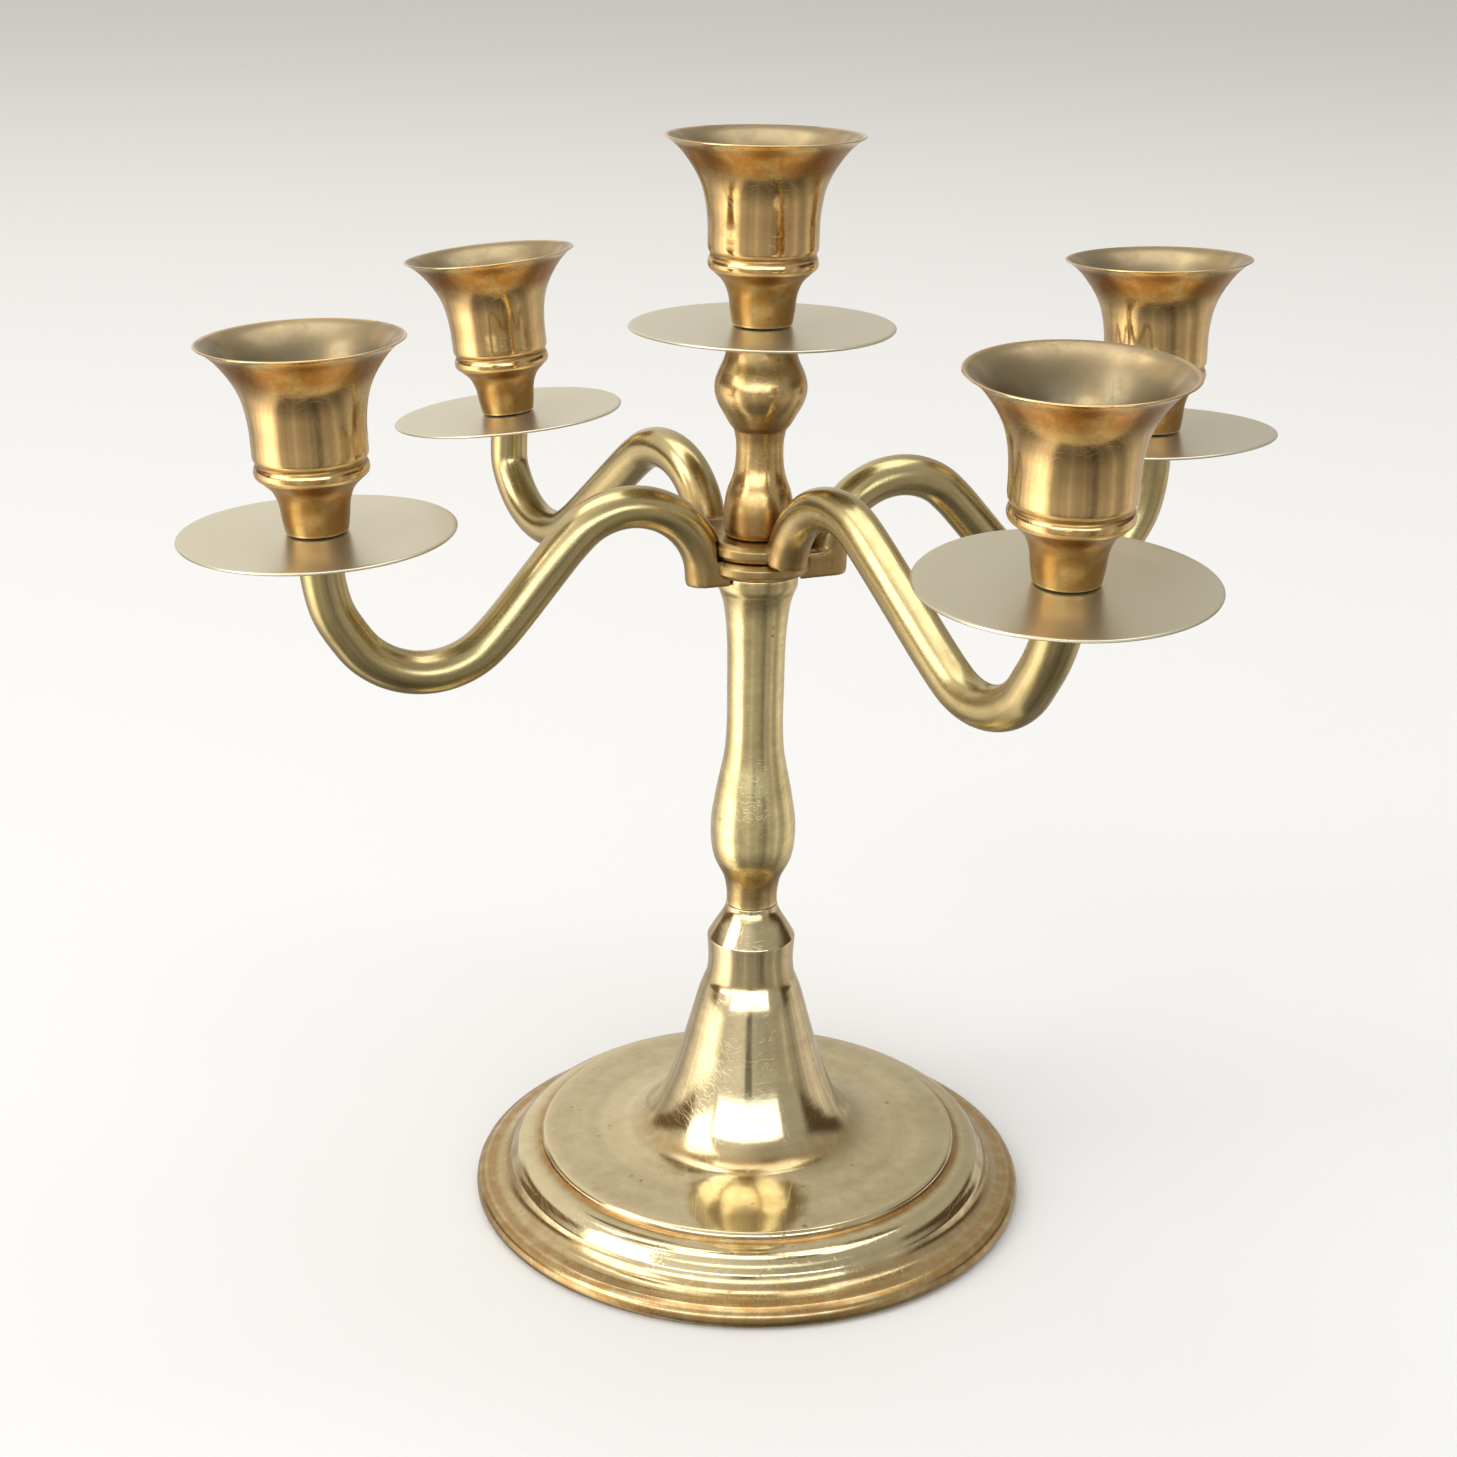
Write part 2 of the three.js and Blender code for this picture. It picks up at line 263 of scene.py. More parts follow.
def outline(*runs, step=None):
    """Joins smooth runs end to end, and breaks the corner where two meet.

    Each run is a list of (radius, height) in millimetres and starts where the
    run before it ends.
    """
    making = bpy.context.scene.candelabra_making
    corner = making.corner / MM
    step = step or making.step / MM
    line = spline(runs[0], step)
    for run in runs[1:]:
        tip = line[-1]
        behind = cut_back(line, corner)
        ahead = cut_back(spline([tip, *run], step)[::-1], corner)[::-1]
        turn = [
            behind[-1] * (1 - t) ** 2 + tip * 2 * t * (1 - t) + ahead[0] * t * t
            for t in (0.25, 0.5, 0.75)
        ]
        line = np.array([*behind, *turn, *ahead])
    return line


def ends_on_axis(line):
    """The outline with its two ends exactly on the axis."""
    line = np.array(line, float)
    line[0][0] = line[-1][0] = 0.0
    return line


def bend(centre, radius, start, end, count):
    """Points on an arc in the upright plane, with angles in degrees."""
    angles = np.radians(np.linspace(start, end, count))
    return [(centre[0] + radius * math.cos(a), centre[1] + radius * math.sin(a)) for a in angles]


def distances(line):
    """How far along the line each of its points is."""
    return np.concatenate([[0.0], np.cumsum(np.linalg.norm(np.diff(line, axis=0), axis=1))])


def turning(line, window):
    """How sharply the line turns at each point, in radians over the window. Left is positive."""
    along = distances(line)

    def at(distance):
        return np.stack([np.interp(distance, along, line[:, k]) for k in (0, 1)], axis=1)

    back = line - at(along - window)
    ahead = at(along + window) - line
    cross = back[:, 0] * ahead[:, 1] - back[:, 1] * ahead[:, 0]
    return np.arctan2(cross, (back * ahead).sum(axis=1))


# ---- meshes ---------------------------------------------------------------

def mesh_of(name, points, faces):
    """A mesh from points in metres, smooth where it doesn't turn sharply."""
    mesh = bpy.data.meshes.new(name)
    mesh.from_pydata(points, [], faces)
    mesh.validate()
    finish_mesh(mesh)
    return mesh


def finish_mesh(mesh):
    """Shades a mesh smooth, with sharp edges kept."""
    mesh.shade_smooth()
    mesh.set_sharp_from_angle(angle=math.radians(SHARP_TURN))


def points_of(mesh):
    """The points of a mesh, in metres."""
    points = np.empty(len(mesh.vertices) * 3)
    mesh.vertices.foreach_get("co", points)
    return points.reshape(-1, 3)


def mark(mesh, name, values):
    """Stores one number, or one vector, for each point of the mesh."""
    values = np.asarray(values, np.float32)
    kind, field = ("FLOAT", "value") if values.ndim == 1 else ("FLOAT_VECTOR", "vector")
    old = mesh.attributes.get(name)
    if old:
        mesh.attributes.remove(old)
    layer = mesh.attributes.new(name, kind, "POINT")
    layer.data.foreach_set(field, values.ravel())


def stain_and_shade(mesh, strength, name="hollow_and_shade"):
    """Marks a mesh with the strength of stains and painted shade at each point, given its radius and
    height in millimetres.
    """
    x, y, z = points_of(mesh).T / MM
    marked = np.zeros(len(z))
    if name in mesh.attributes:
        mesh.attributes[name].data.foreach_get("value", marked)
    mark(mesh, name, np.maximum(marked, strength(np.hypot(x, y), z)))


def ring(radius, height, sides, wobble, seed):
    """Points round the axis at one height, or a single point where the radius is 0."""
    if radius == 0:
        return [(0.0, 0.0, height * MM)]
    angles = np.arange(sides) * 2 * math.pi / sides
    wave = 0.6 * np.cos(2 * angles + seed) + 0.4 * np.cos(3 * angles + 2.1 * seed + height / 9)
    radii = radius * MM * (1 + wobble * wave)
    return list(zip(radii * np.cos(angles), radii * np.sin(angles), [height * MM] * sides))


def ring_faces(rings, sides, closed):
    """Faces between each ring and the next, a full turn for each stretch of the outline."""
    starts = np.cumsum([0, *(len(points) for points in rings)]).tolist()
    stretches = list(zip(range(len(rings)), range(1, len(rings))))
    if closed:
        stretches.append((len(rings) - 1, 0))
    faces = []
    for i, k in stretches:
        for near in range(sides):
            far = (near + 1) % sides
            if len(rings[i]) == 1:
                face = (starts[i], starts[k] + far, starts[k] + near)
            elif len(rings[k]) == 1:
                face = (starts[i] + near, starts[i] + far, starts[k])
            else:
                face = (starts[i] + near, starts[i] + far, starts[k] + far, starts[k] + near)
            faces.append(face)
    return faces


def revolve(name, line, inner=None, sides=None, wobble=0.0, seed=0.0):
    """Turns an outline of (radius, height) in millimetres into a closed mesh.

    The outline runs up the outside and down the inside. If it starts off the
    axis it closes on itself. Faces from point `inner` on take the second
    material. Corners are marked as edges and coves as hollows.
    """
    sides = sides or bpy.context.scene.candelabra_making.sides
    rings = [ring(radius, height, sides, wobble, seed) for radius, height in line]
    counts = [len(points) for points in rings]
    sharp = np.clip(turning(line, 0.6) / 0.9, 0, 1)
    hollow_and_shade = np.clip(-turning(line, 1.4) / 0.8, 0, 1)
    faces = ring_faces(rings, sides, closed=line[0][0] > 0)
    slots = np.zeros(len(faces), np.int32)
    if inner:
        hollow_and_shade[inner + 1:] = 1.0
        slots[inner * sides:] = 1
    mesh = mesh_of(name, [point for points in rings for point in points], faces)
    mark(mesh, "edge", np.repeat(sharp, counts))
    mark(mesh, "hollow_and_shade", np.repeat(hollow_and_shade, counts))
    mesh.polygons.foreach_set("material_index", slots)
    return mesh


def bar(name, radius, bottom, top, where=Matrix(), sides=64):
    """A plain round bar for cutting, in millimetres."""
    line = ends_on_axis([(0, bottom), (radius, bottom), (radius, top), (0, top)])
    mesh = revolve(name, line, sides=sides)
    mesh.transform(where)
    return mesh


def threaded(name, radius, bottom, top, pitch, smooth=None, sides=36):
    """A threaded rod with chamfered ends, in millimetres. `smooth` is a plain stretch of it."""
    rows = max(8, round((top - bottom) / pitch * 6))
    heights = np.linspace(bottom, top, rows)
    angles = np.arange(sides) * 2 * math.pi / sides
    turns, around = np.meshgrid(heights / pitch, angles / (2 * math.pi), indexing="ij")
    tooth = np.abs(((turns - around) % 1.0) * 2 - 1)
    depth = 0.55 * pitch * np.clip(tooth * 1.25 - 0.12, 0, 1)
    if smooth:
        plain = (heights > smooth[0]) & (heights < smooth[1])
        depth[plain] = 0
    ends = np.minimum(heights - bottom, top - heights)[:, None]
    radii = np.minimum(radius - depth, radius - 0.7 * pitch + ends)
    x, y = radii * np.cos(angles), radii * np.sin(angles)
    z = np.broadcast_to(heights[:, None], x.shape)
    points = np.stack([x, y, z], axis=-1).reshape(-1, 3) * MM
    points = np.vstack([points, (0, 0, bottom * MM), (0, 0, top * MM)])
    faces = []
    for j in range(sides):
        k = (j + 1) % sides
        faces.append((len(points) - 2, k, j))
        last = (rows - 1) * sides
        faces.append((len(points) - 1, last + j, last + k))
        for i in range(rows - 1):
            low, high = i * sides, (i + 1) * sides
            faces.append((low + j, low + k, high + k, high + j))
    mesh = mesh_of(name, points.tolist(), faces)
    groove = np.append(depth.ravel() / (0.5 * pitch), (0, 0))
    mark(mesh, "edge", 1 - np.clip(groove * 4, 0, 1))
    mark(mesh, "hollow_and_shade", np.clip(groove, 0, 1))
    return mesh


def on_bench(mesh):
    """A loose object to work on."""
    blank = bpy.data.objects.new(mesh.name, mesh)
    bpy.context.scene.collection.objects.link(blank)
    return blank


def work(blank, kind, **settings):
    """Applies one modifier to a loose object."""
    modifier = blank.modifiers.new("Work", kind)
    for name, value in settings.items():
        setattr(modifier, name, value)
    worked = blank.evaluated_get(bpy.context.evaluated_depsgraph_get())
    mesh = bpy.data.meshes.new_from_object(worked)
    blank.modifiers.clear()
    old, blank.data = blank.data, mesh
    bpy.data.meshes.remove(old)


def carve(blank, tool_mesh, operation):
    """Joins a mesh to the blank, or cuts it away."""
    tool = on_bench(tool_mesh)
    work(blank, "BOOLEAN", object=tool, operation=operation, solver="MANIFOLD")
    bpy.data.objects.remove(tool)
    bpy.data.meshes.remove(tool_mesh)


def off_bench(blank):
    """The finished mesh of a loose object, which is removed."""
    mesh = blank.data
    bpy.data.objects.remove(blank)
    return mesh


def joined(name, meshes):
    """One mesh with the points and faces of several."""
    points, faces = [], []
    for mesh in meshes:
        start = len(points)
        points += [tuple(v.co) for v in mesh.vertices]
        faces += [tuple(start + i for i in face.vertices) for face in mesh.polygons]
        bpy.data.meshes.remove(mesh)
    return mesh_of(name, points, faces)


def put(name, mesh, finishes, body, node, where=Matrix()):
    """Puts a mesh into the scene in place of a CAD node, in the named finishes."""
    mesh.materials.clear()
    for label in finishes:
        mesh.materials.append(finish(label))
    piece = bpy.data.objects.new(name, mesh)
    mesh.name = name
    bpy.context.scene.collection.objects.link(piece)
    piece.matrix_world = where
    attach(piece, body)
    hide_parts(node)
    return piece


# ---- candle places --------------------------------------------------------

def seat(place):
    """The frame of a candle place: its origin on the drip pan's plane, +Z up the cup's axis."""
    joint = JOINTS["cup_unscrew_" + place]
    turn = Vector((0, 0, 1)).rotation_difference(Vector(joint["axis"])).to_matrix().to_4x4()
    return Matrix.Translation(joint["pos_m"]) @ turn


def carrier(place):
    """The body that carries a candle place."""
    return JOINTS["cup_rise_" + place]["parent"]


# ---- shader building ------------------------------------------------------

def feed(tree, node, inputs):
    """Sets inputs of a node, or links them where the value is another node's output."""
    for name, value in inputs.items():
        if isinstance(value, bpy.types.NodeSocket):
            tree.links.new(value, node.inputs[name])
        else:
            node.inputs[name].default_value = value


def add(tree, kind, inputs=None, **settings):
    """Adds a node, with its settings and its inputs set or linked."""
    made = tree.nodes.new(kind)
    for name, value in settings.items():
        setattr(made, name, value)
    feed(tree, made, inputs or {})
    return made


def maths(tree, operation, *values, clamp=False):
    """Result of a Math node."""
    inputs = dict(enumerate(values))
    return add(tree, "ShaderNodeMath", inputs, operation=operation, use_clamp=clamp).outputs[0]


def ramp(tree, value, low, high, bottom=0.0, top=1.0):
    """The value eased from bottom to top as it goes from low to high."""
    inputs = {0: value, 1: low, 2: high, 3: bottom, 4: top}
    return add(tree, "ShaderNodeMapRange", inputs, interpolation_type="SMOOTHSTEP").outputs[0]


def blend(tree, factor, a, b, mode="MIX"):
    """Colour mixed from a to b."""
    made = add(tree, "ShaderNodeMix", {0: factor, 6: a, 7: b}, data_type="RGBA", blend_type=mode)
    return made.outputs[2]


def bands(tree, value, stops):
    """A grey that follows stops of (place from 0 to 1, brightness)."""
    made = add(tree, "ShaderNodeValToRGB", {0: value})
    elements = made.color_ramp.elements
    elements.remove(elements[1])
    for number, (place, bright) in enumerate(stops):
        element = elements.new(place) if number else elements[0]
        element.position = place
        element.color = (bright, bright, bright, 1.0)
    return made.outputs[0]


def channel(tree, colour):
    """One channel of a random colour, as an even spread of greys."""
    return add(tree, "ShaderNodeSeparateColor", {0: colour}).outputs[0]


def dent(tree, height, depth, normal=None, invert=False):
    """Normal of a surface with the given height on it, `depth` millimetres deep."""
    inputs = {"Height": height, "Distance": depth * MM}
    if normal is not None:
        inputs["Normal"] = normal
    return add(tree, "ShaderNodeBump", inputs, invert=invert).outputs[0]


def noise(tree, vector, scale, detail=3.0, rough=0.5):
    """Soft noise about 0.5."""
    inputs = {"Vector": vector, "Scale": scale, "Detail": detail, "Roughness": rough}
    return add(tree, "ShaderNodeTexNoise", inputs).outputs[0]


def attribute(tree, name, output="Fac"):
    """A value stored on the mesh."""
    return add(tree, "ShaderNodeAttribute", attribute_name=name).outputs[output]


def group(name, takes, gives):
    """An empty shader node group, and its input and output nodes."""
    tree = bpy.data.node_groups.new(name, "ShaderNodeTree")
    for label, kind, value in takes:
        socket = tree.interface.new_socket(label, in_out="INPUT", socket_type=kind)
        if value is not None:
            socket.default_value = value
    for label, kind in gives:
        tree.interface.new_socket(label, in_out="OUTPUT", socket_type=kind)
    return tree, add(tree, "NodeGroupInput").outputs, add(tree, "NodeGroupOutput").inputs


def placed(tree, name, inputs=None):
    """Outputs of the named node group, which is made the first time it is asked for."""
    made = bpy.data.node_groups.get(name) or GROUPS[name](name)
    return add(tree, "ShaderNodeGroup", inputs, node_tree=made).outputs


def own_place(tree):
    """Place on the piece, in its own metres."""
    return add(tree, "ShaderNodeTexCoord").outputs["Object"]


# ---- effects shared by the materials --------------------------------------

def turning_lines(name):
    """Fine rings from the lathe, about the piece's own Z axis."""
    takes = [("Fineness", "NodeSocketFloat", 1500.0)]
    gives = [("Height", "NodeSocketFloat"), ("Bands", "NodeSocketFloat")]
    tree, get, give = group(name, takes, gives)
    x, y, z = add(tree, "ShaderNodeSeparateXYZ", {0: own_place(tree)}).outputs
    squares = maths(tree, "ADD", maths(tree, "MULTIPLY", x, x), maths(tree, "MULTIPLY", y, y))
    radius = maths(tree, "SQRT", squares)
    drift = maths(tree, "MULTIPLY", x, 0.03)
    rings = add(tree, "ShaderNodeCombineXYZ", {0: radius, 1: drift, 2: z}).outputs[0]
    tree.links.new(noise(tree, rings, get["Fineness"], 4.0, 0.7), give["Height"])
    tree.links.new(noise(tree, rings, 140.0, 3.0, 0.6), give["Bands"])
    return tree


def hand_polish(name):
    """Soft unevenness left by a polishing wheel, wide and small."""
    takes = [("Fineness", "NodeSocketFloat", 90.0)]
    tree, get, give = group(name, takes, [("Height", "NodeSocketFloat")])
    place = own_place(tree)
    wide = noise(tree, place, get["Fineness"], 1.0, 0.4)
    small = noise(tree, place, maths(tree, "MULTIPLY", get["Fineness"], 4.3), 2.0, 0.5)
    tree.links.new(maths(tree, "MULTIPLY_ADD", small, 0.16, wide), give["Height"])
    return tree


def scratches(name):
    """Hairline scratches in three directions, in patches."""
    takes = [("Fineness", "NodeSocketFloat", 420.0), ("Amount", "NodeSocketFloat", 0.5)]
    tree, get, give = group(name, takes, [("Mask", "NodeSocketFloat")])
    place = own_place(tree)
    total = None
    for k, turn in enumerate(((0.2, 0.1, 0.7), (1.1, 0.5, -0.6), (-0.5, 0.8, 2.1))):
        drawn = {"Vector": place, "Rotation": turn, "Scale": (1.0, 0.05, 1.0)}
        mapped = add(tree, "ShaderNodeMapping", drawn)
        wander = noise(tree, mapped.outputs[0], get["Fineness"], 1.0, 0.4)
        offset = maths(tree, "ABSOLUTE", maths(tree, "SUBTRACT", wander, 0.5))
        hair = ramp(tree, offset, 0.0, 0.010, 1.0, 0.0)
        shifted = add(tree, "ShaderNodeMapping", {"Vector": place, "Location": (0.31 * k, 0.17, 0.0)})
        patch = noise(tree, shifted.outputs[0], 75.0, 2.0, 0.6)
        worn = maths(tree, "ADD", patch, maths(tree, "MULTIPLY", get["Amount"], 0.3))
        layer = maths(tree, "MULTIPLY", hair, ramp(tree, worn, 0.6, 0.75))
        total = layer if total is None else maths(tree, "MAXIMUM", total, layer)
    tree.links.new(total, give["Mask"])
    return tree


def spots(name):
    """Small round specks of tarnish, in clusters."""
    takes = [("Fineness", "NodeSocketFloat", 420.0), ("Amount", "NodeSocketFloat", 0.5)]
    tree, get, give = group(name, takes, [("Mask", "NodeSocketFloat")])
    place = own_place(tree)
    warp = add(tree, "ShaderNodeTexNoise", {"Vector": place, "Scale": 900.0, "Detail": 2.0}).outputs[1]
    loose = add(tree, "ShaderNodeVectorMath", {0: warp, "Scale": 0.0011}, operation="SCALE").outputs[0]
    moved = add(tree, "ShaderNodeVectorMath", {0: place, 1: loose}, operation="ADD").outputs[0]
    cells = add(tree, "ShaderNodeTexVoronoi", {"Vector": moved, "Scale": get["Fineness"]})
    size = maths(tree, "MULTIPLY", channel(tree, cells.outputs[1]), 0.34)
    speck = maths(tree, "SUBTRACT", size, cells.outputs[0])
    cluster = maths(tree, "MULTIPLY_ADD", get["Amount"], 0.3, noise(tree, place, 60.0, 3.0, 0.6))
    mask = maths(tree, "MULTIPLY", ramp(tree, speck, 0.0, 0.12), ramp(tree, cluster, 0.62, 0.78))
    tree.links.new(mask, give["Mask"])
    return tree


def patina(name):
    """Colour of old lacquered brass: olive film in patches, amber in hollows and as painted shade where a
    piece marks it, bright on edges.
    """
    takes = [
        ("Clean", "NodeSocketColor", None), ("Olive", "NodeSocketColor", None),
        ("Amber", "NodeSocketColor", None), ("Tarnish", "NodeSocketFloat", 0.5),
        ("Hollows and shade", "NodeSocketFloat", 0.7),
    ]
    gives = [("Color", "NodeSocketColor"), ("Film", "NodeSocketFloat")]
    tree, get, give = group(name, takes, gives)
    place = own_place(tree)
    broad = noise(tree, place, 42.0, 4.0, 0.6)
    fine = noise(tree, place, 260.0, 4.0, 0.65)
    mixed = maths(tree, "MULTIPLY_ADD", fine, 0.45, maths(tree, "MULTIPLY", broad, 0.55))
    grown = maths(tree, "MULTIPLY", ramp(tree, mixed, 0.40, 0.62), get["Tarnish"])
    # the mark holds amber film in the hollows together with the painted shade laid by the pieces
    hollow_and_shade = maths(tree, "MULTIPLY", attribute(tree, "hollow_and_shade"), get["Hollows and shade"])
    rubbed = maths(tree, "MULTIPLY", attribute(tree, "edge"), 0.8)
    film = maths(tree, "SUBTRACT", maths(tree, "ADD", grown, hollow_and_shade), rubbed, clamp=True)
    filmed = blend(tree, film, get["Clean"], get["Olive"])
    deep = maths(tree, "MULTIPLY", hollow_and_shade, ramp(tree, fine, 0.30, 0.62, 0.45, 1.0))
    thickest = maths(tree, "MULTIPLY", get["Tarnish"], 0.6)
    heavy = maths(tree, "MULTIPLY", ramp(tree, mixed, 0.54, 0.70), thickest)
    amber = maths(tree, "SUBTRACT", maths(tree, "MAXIMUM", deep, heavy), rubbed, clamp=True)
    tree.links.new(blend(tree, amber, filmed, get["Amber"]), give["Color"])
    tree.links.new(film, give["Film"])
    return tree


GROUPS = {
    "Turning lines": turning_lines,
    "Hand polish": hand_polish,
    "Scratches": scratches,
    "Spots": spots,
    "Patina": patina,
}


# ---- materials ------------------------------------------------------------

def new_material(name):
    """An empty material with its Principled shader, and its node tree."""
    material = bpy.data.materials.new(name)
    material.use_nodes = True
    tree = material.node_tree
    tree.nodes.clear()
    shader = add(tree, "ShaderNodeBsdfPrincipled")
    add(tree, "ShaderNodeOutputMaterial", {"Surface": shader.outputs[0]})
    return material, tree, shader


def file_marks(tree):
    """Height of the file marks drawn along a cast arm."""
    drawn = attribute(tree, "grain", "Vector")
    coarse = noise(tree, drawn, 230.0, 3.0, 0.6)
    thin = noise(tree, drawn, 1500.0, 3.0, 0.7)
    return maths(tree, "MULTIPLY_ADD", thin, 0.4, maths(tree, "MULTIPLY", coarse, 0.6))


def brass(name, clean, tarnish=1.0, hollows_and_shade=0.7, dull=1.0, lines=0.0, uneven=0.0, scratched=0.5,
          specked=0.3, streaks=0.0):
    """Old lacquered brass.

    `tarnish` and `dull` scale the settings in the panel. `lines` and `uneven`
    are depths in millimetres, of the lathe's rings and of the polishing waves.
    `streaks` is how strongly file marks show along a cast arm.
    """
    settings = bpy.context.scene.candelabra_brass
    amber, soot = (*settings.amber, 1.0), (*settings.soot, 1.0)
    material, tree, shader = new_material(name)
    coat = placed(tree, "Patina", {
        "Clean": (*clean, 1.0), "Olive": (*settings.olive, 1.0), "Amber": amber,
        "Tarnish": settings.tarnish * tarnish, "Hollows and shade": hollows_and_shade,
    })
    rings = placed(tree, "Turning lines")
    waves = placed(tree, "Hand polish")["Height"]
    hairs = placed(tree, "Scratches", {"Amount": scratched})["Mask"]
    specks = placed(tree, "Spots", {"Amount": specked})["Mask"]

    patchy = ramp(tree, waves, 0.40, 0.62, 0.55, 1.05)
    smoked = maths(tree, "MULTIPLY", attribute(tree, "soot"), patchy)
    colour = blend(tree, smoked, coat["Color"], soot)
    colour = blend(tree, maths(tree, "MULTIPLY", specks, 0.75), colour, amber)
    shade = ramp(tree, rings["Bands"], 0.30, 0.70, 0.90, 1.06)
    finest = settings.polish * dull
    rough = ramp(tree, coat["Film"], 0.0, 1.0, finest, finest + 0.17)
    normal = dent(tree, waves, uneven)
    if streaks:
        filed = file_marks(tree)
        shade = ramp(tree, filed, 0.34, 0.66, 1.0 - streaks, 1.0 + 0.3 * streaks)
        rough = maths(tree, "MULTIPLY_ADD", filed, 0.12, rough)
        normal = dent(tree, filed, 0.008, normal)
    if lines:
        normal = dent(tree, rings["Height"], lines, normal)
    value = add(tree, "ShaderNodeCombineXYZ", {0: shade, 1: shade, 2: shade}).outputs[0]
    rough = maths(tree, "MULTIPLY_ADD", hairs, 0.10, rough)
    rough = maths(tree, "MULTIPLY_ADD", smoked, 0.25, rough)

    feed(tree, shader, {
        "Base Color": blend(tree, 1.0, colour, value, "MULTIPLY"),
        "Metallic": 1.0,
        "Roughness": maths(tree, "MULTIPLY_ADD", specks, 0.25, rough, clamp=True),
        "Normal": dent(tree, hairs, 0.006, normal, invert=True),
        "Coat Weight": 0.12,
        "Coat Roughness": 0.10,
    })
    return material


def foot_brass(name):
    """Champagne brass of the spun foot."""
    clean = bpy.context.scene.candelabra_brass.foot
    return brass(name, clean, tarnish=0.7, hollows_and_shade=0.8, dull=0.9, lines=0.004, uneven=0.09)


def arm_brass(name):
    """Olive-gold brass of the castings, filed and polished along their length."""
    clean = bpy.context.scene.candelabra_brass.arms
    return brass(
        name, clean, tarnish=0.9, dull=1.3, uneven=0.12, scratched=0.3, specked=0.0, streaks=0.18,
    )


def stem_brass(name):
    """Pale brass of the turned stem."""
    clean = bpy.context.scene.candelabra_brass.stem
    return brass(name, clean, tarnish=0.8, hollows_and_shade=0.5, dull=1.2, lines=0.005, uneven=0.12)


def cup_brass(name):
    """Warm brass of the candle cups."""
    clean = bpy.context.scene.candelabra_brass.cups
    return brass(name, clean, tarnish=0.9, hollows_and_shade=1.0, lines=0.004, uneven=0.10)


def column_brass(name):
    """Warm brass of the column, polished by hand and less even."""
    clean = bpy.context.scene.candelabra_brass.cups
    return brass(name, clean, hollows_and_shade=0.9, dull=1.4, lines=0.003, uneven=0.20)


def sheet_brass(name):
    """Greyer, scratched brass of the drip pans."""
    clean = bpy.context.scene.candelabra_brass.sheet
    return brass(
        name, clean, tarnish=1.5, hollows_and_shade=0.6, dull=0.75, lines=0.003, uneven=0.22, scratched=0.9,
    )


def raw_brass(name):
    """Unpolished brass under the foot and inside the bores, as it was cast."""
    settings = bpy.context.scene.candelabra_brass
    material, tree, shader = new_material(name)
    place = own_place(tree)
    sand = noise(tree, place, 1100.0, 5.0, 0.7)
    patches = noise(tree, place, 55.0, 5.0, 0.65)
    dark = (*(0.45 * c for c in settings.amber), 1.0)
    colour = blend(tree, ramp(tree, patches, 0.35, 0.65), dark, (*settings.olive, 1.0))
    swirl = placed(tree, "Turning lines", {"Fineness": 700.0})["Height"]
    feed(tree, shader, {
        "Base Color": blend(tree, ramp(tree, sand, 0.55, 0.75, 0.0, 0.5), colour, dark),
        "Metallic": 1.0,
        "Roughness": ramp(tree, patches, 0.3, 0.7, 0.45, 0.7),
        "Normal": dent(tree, swirl, 0.05, dent(tree, sand, 0.12)),
    })
    return material


def plated_steel(name):
    """Zinc-plated steel of the tie rod, studs, nut and washer, with some rust in the threads."""
    material, tree, shader = new_material(name)
    place = own_place(tree)
    crystals = add(tree, "ShaderNodeTexVoronoi", {"Vector": place, "Scale": 900.0}).outputs[1]
    flake = ramp(tree, channel(tree, crystals), 0.0, 1.0)
    zinc = blend(tree, flake, (0.42, 0.43, 0.45, 1.0), (0.60, 0.61, 0.62, 1.0))
    patches = ramp(tree, noise(tree, place, 240.0), 0.42, 0.62)
    rusty = maths(tree, "MULTIPLY", attribute(tree, "hollow_and_shade"), patches)
    fine = placed(tree, "Turning lines", {"Fineness": 2400.0})["Height"]
    feed(tree, shader, {
        "Base Color": blend(tree, maths(tree, "MULTIPLY", rusty, 0.7), zinc, (0.16, 0.07, 0.025, 1.0)),
        "Metallic": 1.0,
        "Roughness": ramp(tree, rusty, 0.0, 1.0, 0.32, 0.7),
        "Normal": dent(tree, fine, 0.01),
    })
    return material


def floor_paper(name):
    """Pale seamless paper."""
    floor = bpy.context.scene.candelabra_stage.floor
    material, tree, shader = new_material(name)
    fibre = noise(tree, own_place(tree), 900.0, 4.0, 0.7)
    shaded = (*(0.985 * c for c in floor), 1.0)
    feed(tree, shader, {
        "Base Color": blend(tree, fibre, shaded, (*floor, 1.0)),
        "Roughness": 0.7,
        "Normal": dent(tree, fibre, 0.02),
    })
    return material


FINISHES = {
    "foot_brass": foot_brass,
    "arm_brass": arm_brass,
    "stem_brass": stem_brass,
    "cup_brass": cup_brass,
    "column_brass": column_brass,
    "sheet_brass": sheet_brass,
    "raw_brass": raw_brass,
    "plated_steel": plated_steel,
    "floor_paper": floor_paper,
}


def finish(name):
    """The named material, which is made the first time it is asked for."""
    return bpy.data.materials.get(name) or FINISHES[name](name)


# ---- pieces ---------------------------------------------------------------

